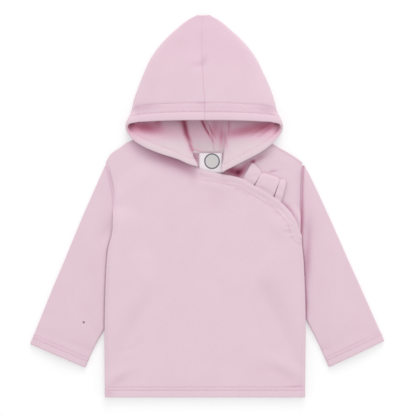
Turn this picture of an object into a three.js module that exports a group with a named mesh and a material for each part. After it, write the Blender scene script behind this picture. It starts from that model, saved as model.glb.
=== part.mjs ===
// A baby's hooded fleece wrap jacket, laid flat on its back with the hood up.
// Millimetres. +Y runs from the hem to the hood, +Z is up, and +X is the wearer's left.
// The origin is on the underside of the back, on the middle line, 267 mm above the hem.
// Every piece is a wall of cloth: a grid of points on its middle surface, thickened to both sides.
import * as THREE from "three";

// ---------- Driving sizes ----------
const fleece = 2.0; // thickness of the fleece
const seamGap = 0.3; // space left between pieces that are sewn together
const layerStep = fleece + 0.4; // from the middle of one layer to the middle of the next
const floorMiddle = fleece / 2; // middle of a layer that lies on the floor
const sleeveFold = 1.4; // radius of a sleeve's folded edge, at the middle of the cloth
const sleevePuff = 2.4; // how far the upper wall of a sleeve stands off its lower wall
const sleeveHeight = floorMiddle + 2 * sleeveFold + fleece / 2;
const bodyHalf = 138; // nominal half width, which the column positions are given in
const hemY = -267.4;
const underarmY = -41;
const tuckSlope = 40; // width of the slope where the body comes down off a tucked sleeve
const slopeRoom = 0.4; // extra room between layers where they slope
const armholeRoom = 0.45; // extra room at the curved armhole, where both edges are drawn in chords
const edgeRoll = 1.0; // how far the wrap's hemmed edge stands proud
const labelThick = 0.6;
const ruffleThick = 1.5;

// ---------- Outlines, a row for each point of the cut ----------
const leftSide = [
  { y: -267.4, x: -139.4 },
  { y: -170, x: -139.8 },
  { y: -110, x: -138.5 },
  { y: -66, x: -135.8 },
  { y: -30, x: -128.3 },
  { y: 8, x: -128.6 },
  { y: 35, x: -133 },
  { y: 61, x: -138.6 },
];
const rightSide = [
  { y: -267.4, x: 139.4 },
  { y: -157, x: 140 },
  { y: -83, x: 137.6 },
  { y: -41, x: 134.4 },
  { y: 10, x: 135.6 },
  { y: 61, x: 137.2 },
];
const leftShoulder = [
  { x: -138, y: 61 },
  { x: -131, y: 72.8 },
  { x: -119, y: 81.2 },
  { x: -107, y: 89.6 },
  { x: -75, y: 100.5 },
];
const rightShoulder = [
  { x: 75, y: 97 },
  { x: 106, y: 81.2 },
  { x: 121, y: 72.8 },
  { x: 131, y: 66.5 },
  { x: 138, y: 61 },
];
const backTop = [
  ...leftShoulder,
  { x: -46, y: 109 },
  { x: -38, y: 104 },
  { x: -30, y: 82 },
  { x: -22, y: 75 },
  { x: 30, y: 75 },
  { x: 38, y: 86 },
  { x: 46, y: 105 },
  ...rightShoulder,
];
const wrapTop = [
  ...leftShoulder,
  { x: -46, y: 109 },
  { x: -38, y: 105 },
  { x: -30, y: 86 },
  { x: -22, y: 66 },
  { x: -14, y: 55 },
  { x: 0, y: 49.5 },
  { x: 24, y: 44.8 },
  { x: 51, y: 39 },
  { x: 67.5, y: 29.8 },
  { x: 79.6, y: 23.4 },
  { x: 95.4, y: 14 },
  { x: 104, y: 8.5 },
  { x: 117, y: -3 },
  { x: 130, y: -20 },
  { x: 135, y: -32 },
  { x: 138, y: -40 },
];

// The under front is the wrap's pattern turned over, drawn down a little at the neck.
const underTop = [
  { x: -138, y: -40 },
  { x: -135, y: -33 },
  { x: -130, y: -21 },
  { x: -117, y: -4 },
  { x: -104, y: 7 },
  { x: -79.6, y: 20 },
  { x: -51, y: 32 },
  { x: -24, y: 35 },
  { x: 0, y: 33 },
  { x: 16, y: 34 },
  { x: 25, y: 41 },
  { x: 30, y: 64 },
  { x: 38, y: 98 },
  { x: 46, y: 105 },
  ...rightShoulder,
];

// A row for each section of a sleeve, from the armhole to the cuff, with x measured outwards.
// clear is the share of the width, from the outer edge, that no other piece lies on.
const rightWearerSleeve = [
  { share: 0, outerX: 138.9, outerY: 61.2, innerX: 127.6, innerY: -41, clear: 1 },
  { share: 0.05, outerX: 146, outerY: 45.3, innerX: 127.4, innerY: -44, clear: 0.82 },
  { share: 0.12, outerX: 155.3, outerY: 23.3, innerX: 126, innerY: -50.8, clear: 0.7 },
  { share: 0.2, outerX: 165.3, outerY: -0.6, innerX: 122.2, innerY: -61, clear: 0.6 },
  { share: 0.3, outerX: 175.5, outerY: -25, innerX: 112.4, innerY: -77, clear: 0.53 },
  { share: 0.41, outerX: 185, outerY: -48, innerX: 107.6, innerY: -99, clear: 0.55 },
  { share: 0.52, outerX: 195, outerY: -72.5, innerX: 115, innerY: -121, clear: 0.65 },
  { share: 0.68, outerX: 211, outerY: -110, innerX: 134, innerY: -157, clear: 0.86 },
  { share: 0.84, outerX: 228, outerY: -152, innerX: 150.5, innerY: -188, clear: 1 },
  { share: 1, outerX: 244.6, outerY: -193, innerX: 167.8, innerY: -226, clear: 1 },
];
const leftWearerSleeve = [
  { share: 0, outerX: 137.5, outerY: 61, innerX: 134.8, innerY: -41, clear: 1 },
  { share: 0.05, outerX: 145.8, outerY: 45.5, innerX: 134.9, innerY: -43.8, clear: 0.84 },
  { share: 0.12, outerX: 156.3, outerY: 23.6, innerX: 134, innerY: -50.5, clear: 0.74 },
  { share: 0.2, outerX: 167.2, outerY: -0.8, innerX: 130.8, innerY: -61, clear: 0.65 },
  { share: 0.3, outerX: 178, outerY: -25, innerX: 120.5, innerY: -78, clear: 0.58 },
  { share: 0.41, outerX: 188.3, outerY: -48, innerX: 114.5, innerY: -99, clear: 0.61 },
  { share: 0.52, outerX: 199, outerY: -72.5, innerX: 121, innerY: -119, clear: 0.73 },
  { share: 0.68, outerX: 215.9, outerY: -110, innerX: 139, innerY: -153, clear: 0.93 },
  { share: 0.84, outerX: 234.6, outerY: -152, innerX: 155, innerY: -185, clear: 1 },
  { share: 1, outerX: 250.6, outerY: -188.5, innerX: 173.6, innerY: -225.4, clear: 1 },
];

// The hood above its corners: half width, height of the middle of the crown, radius of the side fold.
const hoodMiddleX = -1.4;
const hoodSections = [
  { y: 98, half: 109.6, crown: 29, fold: 4.6 },
  { y: 115, half: 108.6, crown: 28, fold: 4.4 },
  { y: 131.6, half: 102.2, crown: 26.5, fold: 4 },
  { y: 148.4, half: 97.3, crown: 25, fold: 3.7 },
  { y: 165, half: 91.7, crown: 23.5, fold: 3.4 },
  { y: 182, half: 84.5, crown: 21.5, fold: 3.1 },
  { y: 198.8, half: 77, crown: 19, fold: 2.8 },
  { y: 215.6, half: 67, crown: 16, fold: 2.5 },
  { y: 232.4, half: 52.5, crown: 12.5, fold: 2.2 },
  { y: 249.2, half: 34, crown: 8.5, fold: 1.8 },
  { y: 257.6, half: 23.5, crown: 6.2, fold: 1.6 },
  { y: 266.6, half: 9, crown: 4.2, fold: 1.4 },
];
const crownSeam = [
  { y: 100, x: 0 },
  { y: 145, x: -0.6 },
  { y: 182, x: -3 },
  { y: 245, x: -4.6 },
  { y: 267, x: -2 },
];
const brimMiddleY = 119;
const hoodForm = 165; // above this level each half is a plain section, below it the columns fan out

// The half on the wearer's right: where the lower ends of its columns lie, from the nape round the
// neck seam, out along the free edge that lies on the chest, to the corner beside the brim.
const rightWearerHoodEnds = [
  { across: 0, x: 13.6, y: 75.6, z: 1 },
  { across: 0.08, x: 3, y: 75.6, z: 1 },
  { across: 0.16, x: -8, y: 75.6, z: 1 },
  { across: 0.23, x: -17, y: 75.8, z: 3.5 },
  { across: 0.27, x: -14.5, y: 61, z: 8.6 },
  { across: 0.31, x: -10.5, y: 55.5, z: 12.4 },
  { across: 0.37, x: -20, y: 57.5, z: 13.6 },
  { across: 0.5, x: -38, y: 65.2, z: 14.2 },
  { across: 0.65, x: -60, y: 72.2, z: 14 },
  { across: 0.8, x: -83, y: 81.4, z: 12.6 },
  { across: 0.92, x: -98, y: 90.4, z: 11 },
];
const leftWearerHoodEnds = [
  { across: 0, x: 14, y: 75.6, z: 1 },
  { across: 0.06, x: 18, y: 75.6, z: 1 },
  { across: 0.13, x: 22, y: 75.6, z: 1 },
  { across: 0.21, x: 26.2, y: 75.8, z: 3.5 },
  { across: 0.26, x: 25.6, y: 58, z: 8.6 },
  { across: 0.31, x: 23.5, y: 47.4, z: 10.6 },
  { across: 0.37, x: 31, y: 50.8, z: 12.4 },
  { across: 0.5, x: 45.5, y: 58, z: 13.8 },
  { across: 0.65, x: 63, y: 67, z: 14 },
  { across: 0.8, x: 79, y: 75.6, z: 13 },
  { across: 0.92, x: 93, y: 86.2, z: 11.4 },
];
// How the free edge turns round the hood's corner, from the fold's underside to its top.
const cornerTurn = [
  { angle: -60, outwards: -5.5, y: 96, z: 10 },
  { angle: 0, outwards: -0.5, y: 104.5, z: 11 },
  { angle: 60, outwards: -1.5, y: 111.5, z: 14 },
];
const crownAcross = [0.93, 0.78, 0.62, 0.46, 0.3, 0.15, 0];

// A row for each ruffle tab: its two ends on the wrap's edge and its two tips.
const ruffleTabs = [
  { name: "ruffle_upper", baseX: 51.4, tipX: 66.2, tipY: 61.5, farX: 66.6, farTipX: 77.2, farTipY: 46.8 },
  { name: "ruffle_middle", baseX: 69.2, tipX: 80.6, tipY: 50, farX: 94, farTipX: 103.2, farTipY: 38.6 },
  { name: "ruffle_lower", baseX: 95.8, tipX: 104.8, tipY: 37.4, farX: 106.5, farTipX: 113.6, farTipY: 35.4 },
];

// The largest soft folds of the wrap front: ridges, each with its middle, size, turn and rise.
const wrapFolds = [
  { x: -116, y: -236, long: 26, wide: 9, turn: 24, rise: 1.6 },
  { x: 6, y: 30, long: 34, wide: 8, turn: -8, rise: 1.1 },
  { x: -131, y: -130, long: 80, wide: 6, turn: 89, rise: 1.0 },
  { x: 118, y: -226, long: 24, wide: 8, turn: 150, rise: 1.2 },
  { x: 96, y: -24, long: 28, wide: 8, turn: 128, rise: 0.9 },
  { x: -92, y: 24, long: 40, wide: 11, turn: 70, rise: 1.1 },
];

// ---------- Small functions ----------
const clamp = (value, low = 0, high = 1) => Math.min(Math.max(value, low), high);
const mix = (a, b, share) => a + (b - a) * share;
const radians = (degrees) => (degrees * Math.PI) / 180;

function smooth(low, high, value) {
  const share = clamp((value - low) / (high - low));
  return share * share * (3 - 2 * share);
}

// A smooth curve through a table's rows, from one column to another, that never overshoots them.
function curveThrough(table, from, to) {
  const rows = [...table].sort((a, b) => a[from] - b[from]);
  const last = rows.length - 1;
  const rise = (i) => (rows[i + 1][to] - rows[i][to]) / (rows[i + 1][from] - rows[i][from]);
  const slope = (i) => {
    if (i === 0) return rise(0);
    if (i === last) return rise(last - 1);
    const before = rise(i - 1);
    const after = rise(i);
    return before * after <= 0 ? 0 : (2 * before * after) / (before + after);
  };
  return (value) => {
    let i = 0;
    while (i < last - 1 && value > rows[i + 1][from]) i += 1;
    const span = rows[i + 1][from] - rows[i][from];
    const t = clamp((value - rows[i][from]) / span);
    const bend = slope(i) * span * (1 - t) - slope(i + 1) * span * t;
    const ease = t * t * (3 - 2 * t);
    return mix(rows[i][to], rows[i + 1][to], ease) + t * (1 - t) * bend;
  };
}

// ---------- Cloth walls ----------
// grid[i][j] is a point on the middle surface; the outer face is on the side of across x along.
function clothWall(grid, { closed = false, thick = fleece } = {}) {
  const rows = grid.length;
  const columns = grid[0].length;
  const columnAt = (j) => (closed ? (j + columns) % columns : clamp(j, 0, columns - 1));
  const pointAt = (i, j) => grid[clamp(i, 0, rows - 1)][columnAt(j)];
  const positions = [];
  for (const side of [0.5, -0.5]) {
    for (let i = 0; i < rows; i += 1) {
      for (let j = 0; j < columns; j += 1) {
        const across = pointAt(i, j + 1).clone().sub(pointAt(i, j - 1));
        const along = pointAt(i + 1, j).clone().sub(pointAt(i - 1, j));
        const offset = across.cross(along).setLength(side * thick);
        positions.push(...pointAt(i, j).clone().add(offset).toArray());
      }
    }
  }
  const outer = (i, j) => i * columns + columnAt(j);
  const inner = (i, j) => rows * columns + outer(i, j);
  const triangles = [];
  const quad = (a, b, c, d) => triangles.push(a, b, c, a, c, d);
  const lastColumn = closed ? columns : columns - 1;
  for (let j = 0; j < lastColumn; j += 1) {
    for (let i = 0; i < rows - 1; i += 1) {
      quad(outer(i, j), outer(i, j + 1), outer(i + 1, j + 1), outer(i + 1, j));
      quad(inner(i, j), inner(i + 1, j), inner(i + 1, j + 1), inner(i, j + 1));
    }
    quad(inner(0, j), inner(0, j + 1), outer(0, j + 1), outer(0, j));
    quad(outer(rows - 1, j), outer(rows - 1, j + 1), inner(rows - 1, j + 1), inner(rows - 1, j));
  }
  for (let i = 0; i < rows - 1 && !closed; i += 1) {
    quad(inner(i + 1, 0), inner(i, 0), outer(i, 0), outer(i + 1, 0));
    quad(inner(i, columns - 1), inner(i + 1, columns - 1), outer(i + 1, columns - 1), outer(i, columns - 1));
  }
  const geometry = new THREE.BufferGeometry();
  geometry.setAttribute("position", new THREE.Float32BufferAttribute(positions, 3));
  geometry.setIndex(triangles);
  geometry.computeVertexNormals();
  return geometry;
}

// ---------- The body's shape ----------
const leftSideX = curveThrough(leftSide, "y", "x");
const rightSideX = curveThrough(rightSide, "y", "x");
const backTopY = curveThrough(backTop, "x", "y");
const wrapTopY = curveThrough(wrapTop, "x", "y");
const underTopY = curveThrough(underTop, "x", "y");

// A nominal position across the body, moved to the real width at that level.
function bodyX(nominal, y) {
  return nominal < 0 ? (-nominal / bodyHalf) * leftSideX(y) : (nominal / bodyHalf) * rightSideX(y);
}

// Where the inner edge of a tucked sleeve lies, measured outwards from the middle line.
const tuckedRight = curveThrough(rightWearerSleeve, "innerY", "innerX");
const tuckedLeft = curveThrough(leftWearerSleeve, "innerY", "innerX");

// The share of the full lift that the body has where it lies over the sleeves.
function liftShare(x, y) {
  const reach = (x < 0 ? tuckedRight(y) : tuckedLeft(y)) - 6;
  return smooth(reach - tuckSlope, reach, Math.abs(x)) * smooth(2, underarmY + 11, y);
}

// A soft ridge's height at a point.
function foldRise(fold, x, y) {
  const turn = radians(fold.turn);
  const along = (x - fold.x) * Math.cos(turn) + (y - fold.y) * Math.sin(turn);
  const across = (y - fold.y) * Math.cos(turn) - (x - fold.x) * Math.sin(turn);
  return fold.rise * Math.exp(-((along / fold.long) ** 2) - (across / fold.wide) ** 2);
}

const backMiddle = (x, y) => floorMiddle + (sleeveHeight + seamGap) * liftShare(x, y);

// From one layer to the next, with more room on the slopes.
function stepUp(x, y) {
  const share = liftShare(x, y);
  return layerStep + slopeRoom * 4 * share * (1 - share);
}

const underMiddle = (x, y) => backMiddle(x, y) + stepUp(x, y);

// The wrap lies on the under front where there is one, and on the back beside it.
function wrapMiddle(x, y) {
  const onUnder = stepUp(x, y) * smooth(50, 16, y - underTopY(x));
  const rolled = edgeRoll * smooth(16, 3, wrapTopY(x) - y) * smooth(-14, -2, x);
  const folds = wrapFolds.reduce((sum, fold) => sum + foldRise(fold, x, y), 0);
  return underMiddle(x, y) + onUnder + rolled + folds;
}

const bodyColumns = [0, 12, 22, 30, 38, 46, 60, 75, 90, 103, 116, 126, 132, 135.5, 138];
const bodyLevels = [
  hemY, -253.4, -236, -219, -203, -188, -173, -158, -143, -128, -113, -99, -85, -71, -57, -47,
];
const upperShares = [0.14, 0.3, 0.48, 0.66, 0.82, 0.93, 1];

// A panel of the body: its middle surface over the outline from the hem up to a top edge.
function bodyPanel(topY, middle) {
  const nominals = [...bodyColumns.slice(1).reverse().map((x) => -x), ...bodyColumns];
  const upperStart = bodyLevels[bodyLevels.length - 1];
  const point = (nominal, y) => {
    const x = bodyX(nominal, y);
    return new THREE.Vector3(x, y, middle(x, y));
  };
  const lower = bodyLevels.map((y) => nominals.map((nominal) => point(nominal, y)));
  const upper = upperShares.map((share) =>
    nominals.map((nominal) => point(nominal, mix(upperStart, topY(nominal), share))),
  );
  return clothWall([...lower, ...upper]);
}

// ---------- Sleeves ----------
const sleeveShares = [0, 0.05, 0.11, 0.18, 0.26, 0.34, 0.42, 0.5, 0.6, 0.7, 0.8, 0.9, 1];
const sleeveAcross = [0, 0.1, 0.22, 0.36, 0.5, 0.64, 0.78, 0.9, 1];
const foldTurns = [-45, 0, 45];
const edgeStep = 0.01; // share of the sleeve's length that gives the direction of its outline
const leastSquare = 0.5; // least share of a fold's width that a slanted ring gives it

// A flattened sleeve: share runs from the armhole to the cuff, part from the outer edge to the inner.
function sleeveFlat(rows, sideX) {
  const start = rows[0];
  const column = (name) => curveThrough(rows, "share", name);
  const [outerX, outerY, innerX, innerY] = [column("outerX"), column("outerY"), column("innerX"), column("innerY")];
  return (share, part) => {
    const follow = smooth(0.3, 0, share); // how closely the sleeve keeps to the armhole's curve
    const seamY = mix(start.outerY, start.innerY, part);
    const bow = Math.abs(sideX(seamY)) - mix(start.outerX, start.innerX, part);
    const room = seamGap + armholeRoom * (1 + smooth(0.16, 0, part));
    return new THREE.Vector2(
      mix(outerX(share), innerX(share), part) + (bow + room) * follow,
      mix(outerY(share), innerY(share), part),
    );
  };
}

// One closed ring of a flattened sleeve. Its folded edges turn square to the sleeve's outline.
function sleeveRing(flat, clear, sign, share) {
  const ringLine = flat(share, 0).sub(flat(share, 1));
  const width = ringLine.length();
  const outwards = (part, quarter) => {
    const ahead = flat(Math.min(share + edgeStep, 1), part);
    const along = ahead.sub(flat(Math.max(share - edgeStep, 0), part)).normalize();
    return new THREE.Vector2(-along.y, along.x).multiplyScalar(quarter);
  };
  const outwardsAt = { outer: outwards(0, 1), inner: outwards(1, -1) };
  const inset = (direction) => {
    const square = Math.abs(direction.dot(ringLine)) / width;
    return (fleece / 2 + sleeveFold) / (width * Math.max(square, leastSquare));
  };
  const outerInset = inset(outwardsAt.outer);
  const innerInset = inset(outwardsAt.inner);
  const place = (part, z, offset = new THREE.Vector2()) => {
    const spot = flat(share, mix(outerInset, 1 - innerInset, part)).add(offset);
    return new THREE.Vector3(sign * spot.x, spot.y, z);
  };
  const puff = (part) => {
    const open = clamp(part / clear(share));
    return sleevePuff * Math.sin(Math.PI * open) * smooth(0.02, 0.16, share);
  };
  const fold = (part, direction, upwards) =>
    foldTurns.map((degrees) => {
      const turn = radians(degrees) * upwards;
      const reach = direction.clone().multiplyScalar(sleeveFold * Math.cos(turn));
      return place(part, floorMiddle + sleeveFold * (1 + Math.sin(turn)), reach);
    });
  const lower = sleeveAcross.map((part) => place(part, floorMiddle));
  const upper = [...sleeveAcross]
    .reverse()
    .map((part) => place(part, floorMiddle + 2 * sleeveFold + puff(part)));
  return [...lower, ...fold(1, outwardsAt.inner, 1), ...upper, ...fold(0, outwardsAt.outer, -1)];
}

function sleeve(rows, sign, sideX) {
  const flat = sleeveFlat(rows, sideX);
  const clear = curveThrough(rows, "share", "clear");
  const rings = sleeveShares.map((share) => sleeveRing(flat, clear, sign, share));
  const outwards = sign < 0 ? rings.map((ring) => [...ring].reverse()) : rings;
  return clothWall(outwards, { closed: true });
}

// ---------- Hood ----------
const hoodHalf = curveThrough(hoodSections, "y", "half");
const hoodCrown = curveThrough(hoodSections, "y", "crown");
const hoodFold = curveThrough(hoodSections, "y", "fold");
const crownSeamX = curveThrough(crownSeam, "y", "x");
const hoodTopY = hoodSections[hoodSections.length - 1].y;
const hoodLevels = [hoodTopY, 262, 256, 248, 237, 223, 206, 186, hoodForm];
const endShares = [0.16, 0.32, 0.48, 0.64, 0.8, 0.91, 1];

// The side of the hood's flattened section at a level, inside the thickness of the cloth.
const hoodSideX = (sign, y) => hoodMiddleX + sign * (hoodHalf(y) - fleece / 2);

function hoodPlace(sign, across, y, z) {
  const seam = crownSeamX(y) + (sign * seamGap) / 2;
  return new THREE.Vector3(mix(seam, hoodSideX(sign, y), across), y, z);
}

// Points of a column of the lower layer: plain above the form level, fanned out to its end below it.
function lowerColumn(sign, end) {
  const flat = (y) => hoodPlace(sign, end.across, y, floorMiddle);
  const top = hoodLevels.map(flat);
  const fanned = endShares.map((share) => {
    const y = mix(hoodForm, end.y, share);
    const start = flat(Math.max(y, brimMiddleY));
    const drawn = share ** 1.6;
    return new THREE.Vector3(mix(start.x, end.x, drawn), y, mix(floorMiddle, end.z, smooth(0, 1, share)));
  });
  return [...top, ...fanned];
}

// Points of a column on the side fold, which ends at the hood's corner.
function foldColumn(sign, corner, cornerX) {
  const turn = radians(corner.angle);
  const spot = (y) => {
    const radius = hoodFold(y);
    const x = hoodSideX(sign, y) - sign * radius * (1 - Math.cos(turn));
    return new THREE.Vector3(x, y, floorMiddle + radius * (1 + Math.sin(turn)));
  };
  const top = hoodLevels.map(spot);
  const down = endShares.map((share) => {
    const y = mix(hoodForm, corner.y, share);
    const start = spot(Math.max(y, 100));
    const lift = smooth(0.2, 1, share);
    const x = mix(start.x, cornerX + sign * corner.outwards, lift);
    return new THREE.Vector3(x, y, mix(start.z, corner.z, lift));
  });
  return [...top, ...down];
}

// Points of a column of the crown, which ends at the brim.
function crownColumn(sign, across) {
  const endY = brimMiddleY - 3.4 * across ** 3;
  const spot = (y) => {
    const foldTop = floorMiddle + 2 * hoodFold(y);
    const arch = Math.sqrt(1 - (across * 0.985) ** 2);
    const inset = 1 - hoodFold(y) / hoodHalf(y);
    const point = hoodPlace(sign, across * inset, y, 0);
    return point.setZ(foldTop + (hoodCrown(y) - foldTop) * arch);
  };
  return [...hoodLevels.map(spot), ...endShares.map((share) => spot(mix(hoodForm, endY, share)))];
}

function hoodPart(sign, ends, cornerX) {
  const columns = [
    ...ends.map((end) => lowerColumn(sign, end)),
    ...cornerTurn.map((corner) => foldColumn(sign, corner, cornerX)),
    ...crownAcross.map((across) => crownColumn(sign, across)),
  ];
  const rows = columns[0].map((_, i) => columns.map((column) => column[i]));
  const outwards = sign < 0 ? rows.map((row) => [...row].reverse()) : rows;
  return clothWall(outwards);
}

// ---------- Ruffle tabs ----------
// Each tab is a strip folded back on itself: out from the wrap's edge, round its tip and back.
function ruffleTab(tab) {
  const layers = ruffleThick + seamGap + 0.5;
  const low = underMiddle(0, 0) + fleece / 2 + seamGap + ruffleThick / 2;
  const edge = (x) => new THREE.Vector2(x, wrapTopY((x * bodyHalf) / rightSideX(0)) + 1.9);
  const base = [edge(tab.baseX), edge(tab.farX)];
  const tip = [new THREE.Vector2(tab.tipX, tab.tipY), new THREE.Vector2(tab.farTipX, tab.farTipY)];
  const path = [
    { out: 0, z: 0 },
    { out: 0.3, z: 0 },
    { out: 0.62, z: 0 },
    { out: 0.92, z: 0 },
    { out: 0.985, z: 0.18 },
    { out: 1, z: 0.5 },
    { out: 0.985, z: 0.86 },
    { out: 0.92, z: 1.1 },
    { out: 0.62, z: 1.5 },
    { out: 0.3, z: 1.35 },
    { out: 0, z: 1 },
  ];
  const acrossShares = [0, 0.08, 0.3, 0.5, 0.7, 0.92, 1];
  const rows = path.map((step) =>
    acrossShares.map((across) => {
      const rounded = 1 - 0.1 * Math.abs(2 * across - 1) ** 5;
      const from = base[0].clone().lerp(base[1], across);
      const to = tip[0].clone().lerp(tip[1], across);
      const spot = from.lerp(to, step.out * rounded);
      return new THREE.Vector3(spot.x, spot.y, low + step.z * layers);
    }),
  );
  return clothWall(rows.reverse(), { thick: ruffleThick });
}

// ---------- Neck label ----------
const label = { left: -8, right: 23.5, bottom: 46.5, top: 74 };

function neckLabel() {
  const low = floorMiddle + fleece / 2 + seamGap + labelThick / 2;
  const rows = [label.bottom, mix(label.bottom, label.top, 0.5), label.top].map((y) =>
    [label.left, mix(label.left, label.right, 0.5), label.right].map((x) => new THREE.Vector3(x, y, low)),
  );
  return clothWall(rows, { thick: labelThick });
}

// ---------- The part ----------
const pinkFleece = { color: 0xe4c8d6, roughness: 0.95, metalness: 0 };
const whiteSatin = { color: 0xe9e4e6, roughness: 0.45, metalness: 0 };

function piece(name, geometry, finish) {
  const mesh = new THREE.Mesh(geometry, new THREE.MeshStandardMaterial(finish));
  mesh.name = name;
  return mesh;
}

const group = new THREE.Group();
group.add(piece("back", bodyPanel(backTopY, backMiddle), pinkFleece));
group.add(piece("front_under", bodyPanel(underTopY, underMiddle), pinkFleece));
group.add(piece("front_wrap", bodyPanel(wrapTopY, wrapMiddle), pinkFleece));
group.add(piece("sleeve_right", sleeve(rightWearerSleeve, -1, leftSideX), pinkFleece));
group.add(piece("sleeve_left", sleeve(leftWearerSleeve, 1, rightSideX), pinkFleece));
group.add(piece("hood_right", hoodPart(-1, rightWearerHoodEnds, -109.5), pinkFleece));
group.add(piece("hood_left", hoodPart(1, leftWearerHoodEnds, 107.5), pinkFleece));
for (const tab of ruffleTabs) {
  group.add(piece(tab.name, ruffleTab(tab), pinkFleece));
}
group.add(piece("neck_label", neckLabel(), whiteSatin));

export default group;
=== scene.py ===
"""A baby's hooded fleece wrap jacket, laid flat on its back with the hood up.

Every piece of cloth is a grid of points on its middle surface, given a face on each side and a
rounded border. Sizes are in millimetres until a mesh is made, which is in metres.
"""

import logging
import math
from dataclasses import dataclass, field
from enum import Enum
from typing import Callable, Optional

import bmesh
import bpy
import numpy as np
from mathutils import Matrix, Vector


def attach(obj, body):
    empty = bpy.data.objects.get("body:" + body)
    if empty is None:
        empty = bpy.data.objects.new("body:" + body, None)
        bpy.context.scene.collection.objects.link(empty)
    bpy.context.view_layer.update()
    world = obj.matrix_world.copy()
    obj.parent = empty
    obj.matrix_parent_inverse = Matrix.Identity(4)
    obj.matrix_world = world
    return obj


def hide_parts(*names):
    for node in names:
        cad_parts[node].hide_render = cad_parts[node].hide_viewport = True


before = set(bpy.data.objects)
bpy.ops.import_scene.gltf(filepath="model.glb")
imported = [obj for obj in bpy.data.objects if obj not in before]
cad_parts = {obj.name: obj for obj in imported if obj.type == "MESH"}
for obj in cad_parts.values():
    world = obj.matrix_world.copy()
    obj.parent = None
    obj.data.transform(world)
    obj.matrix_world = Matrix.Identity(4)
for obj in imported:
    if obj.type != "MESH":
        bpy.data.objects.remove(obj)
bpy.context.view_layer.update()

LOG = logging.getLogger("jacket")
MM = 0.001

# The colour attribute that carries the painted shade, as a multiplier of the cloth's colour.
PAINTED_SHADE_TINT = "tone"

Array = np.ndarray
Table = dict[str, np.ndarray]
Curve = Callable[[Array], Array]
Colour = tuple[float, float, float]
Piece = bpy.types.Object
Material = bpy.types.Material
Tree = bpy.types.NodeTree
Socket = bpy.types.NodeSocket

# ---------- Sizes of the cut ----------
FLEECE = 2.0
SEAM_GAP = 0.3
LAYER_STEP = FLEECE + 0.4
FLOOR_MIDDLE = FLEECE / 2
SLEEVE_FOLD = 1.4
SLEEVE_PUFF = 2.4
SLEEVE_HEIGHT = FLOOR_MIDDLE + 2 * SLEEVE_FOLD + FLEECE / 2
BODY_HALF = 138.0
HEM_Y = -267.4
UPPER_START_Y = -47.0
UNDERARM_Y = -41.0
TUCK_SLOPE = 40.0
SLOPE_ROOM = 0.4
EDGE_ROLL = 1.0
LABEL_THICK = 0.6
RUFFLE_THICK = 1.5
HEM_STITCHES = (9.8, 14.2)
HEM_STEP = (15.5, 13.0)
BRIM_STITCHES = (12.0, 24.5)
BRIM_STEP = (25.0, 22.0)
# How dark the painted shade is in the brim's two stitch grooves.
BRIM_GROOVE_SHADES = (0.09, 0.045)
WRAP_STITCHES = 13.0
GROOVE = 0.45
GROOVE_WIDTH = 0.8
# How wide the painted shade in a stitch groove is.
GROOVE_SHADE_WIDTH = 0.9
PUCKERS = (5.0, 13.0)
TUCKED_IN = 2.2
SEWN_OVER = 0.5
LEAST_HALF = 0.15
SLEEVE_LENGTH = 268.0
CLOSE_STEPS = np.array([0.0, 0.12, 0.35, 0.7, 1.15, 1.7, 2.35, 3.1, 4.0, 5.1])
PLACES_AT_ONCE = 4000


def table(names: str, *rows: tuple[float, ...]) -> Table:
    """A short table with named columns.

    Args:
        names: the columns' names, parted by spaces.
        rows: one tuple of numbers for each row.

    Returns:
        The columns by name.
    """
    return {name: np.array(column, float) for name, column in zip(names.split(), zip(*rows))}


LEFT_SIDE = table(
    "y x",
    (-267.4, -139.4), (-170, -139.8), (-110, -138.5), (-66, -135.8),
    (-30, -128.3), (8, -128.6), (35, -133), (61, -138.6),
)
RIGHT_SIDE = table(
    "y x",
    (-267.4, 139.4), (-157, 140), (-83, 137.6), (-41, 134.4), (10, 135.6), (61, 137.2),
)
LEFT_SHOULDER = ((-138, 61), (-131, 72.8), (-119, 81.2), (-107, 89.6), (-75, 100.5))
RIGHT_SHOULDER = ((75, 97), (106, 81.2), (121, 72.8), (131, 66.5), (138, 61))
BACK_TOP = table(
    "x y",
    *LEFT_SHOULDER, (-46, 109), (-38, 104), (-30, 82), (-22, 75), (30, 75), (38, 86), (46, 105),
    *RIGHT_SHOULDER,
)
WRAP_TOP = table(
    "x y",
    *LEFT_SHOULDER, (-46, 109), (-38, 105), (-30, 86), (-22, 66), (-14, 55), (0, 49.5), (24, 44.8),
    (51, 39), (67.5, 29.8), (79.6, 23.4), (95.4, 14), (104, 8.5), (117, -3), (130, -20),
    (135, -32), (138, -40),
)
UNDER_TOP = table(
    "x y",
    (-138, -40), (-135, -33), (-130, -21), (-117, -4), (-104, 7), (-79.6, 20), (-51, 32),
    (-24, 35), (0, 33), (16, 34), (25, 41), (30, 64), (38, 98), (46, 105), *RIGHT_SHOULDER,
)
SLEEVE_COLUMNS = "share outer_x outer_y inner_x inner_y clear"
RIGHT_SLEEVE = table(
    SLEEVE_COLUMNS,
    (0, 138.9, 61.2, 127.6, -41, 1), (0.05, 146, 45.3, 127.4, -44, 0.82),
    (0.12, 155.3, 23.3, 126, -50.8, 0.7), (0.2, 165.3, -0.6, 122.2, -61, 0.6),
    (0.3, 175.5, -25, 112.4, -77, 0.53), (0.41, 185, -48, 107.6, -99, 0.55),
    (0.52, 195, -72.5, 115, -121, 0.65), (0.68, 211, -110, 134, -157, 0.86),
    (0.84, 228, -152, 150.5, -188, 1), (1, 244.6, -193, 167.8, -226, 1),
)
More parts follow.
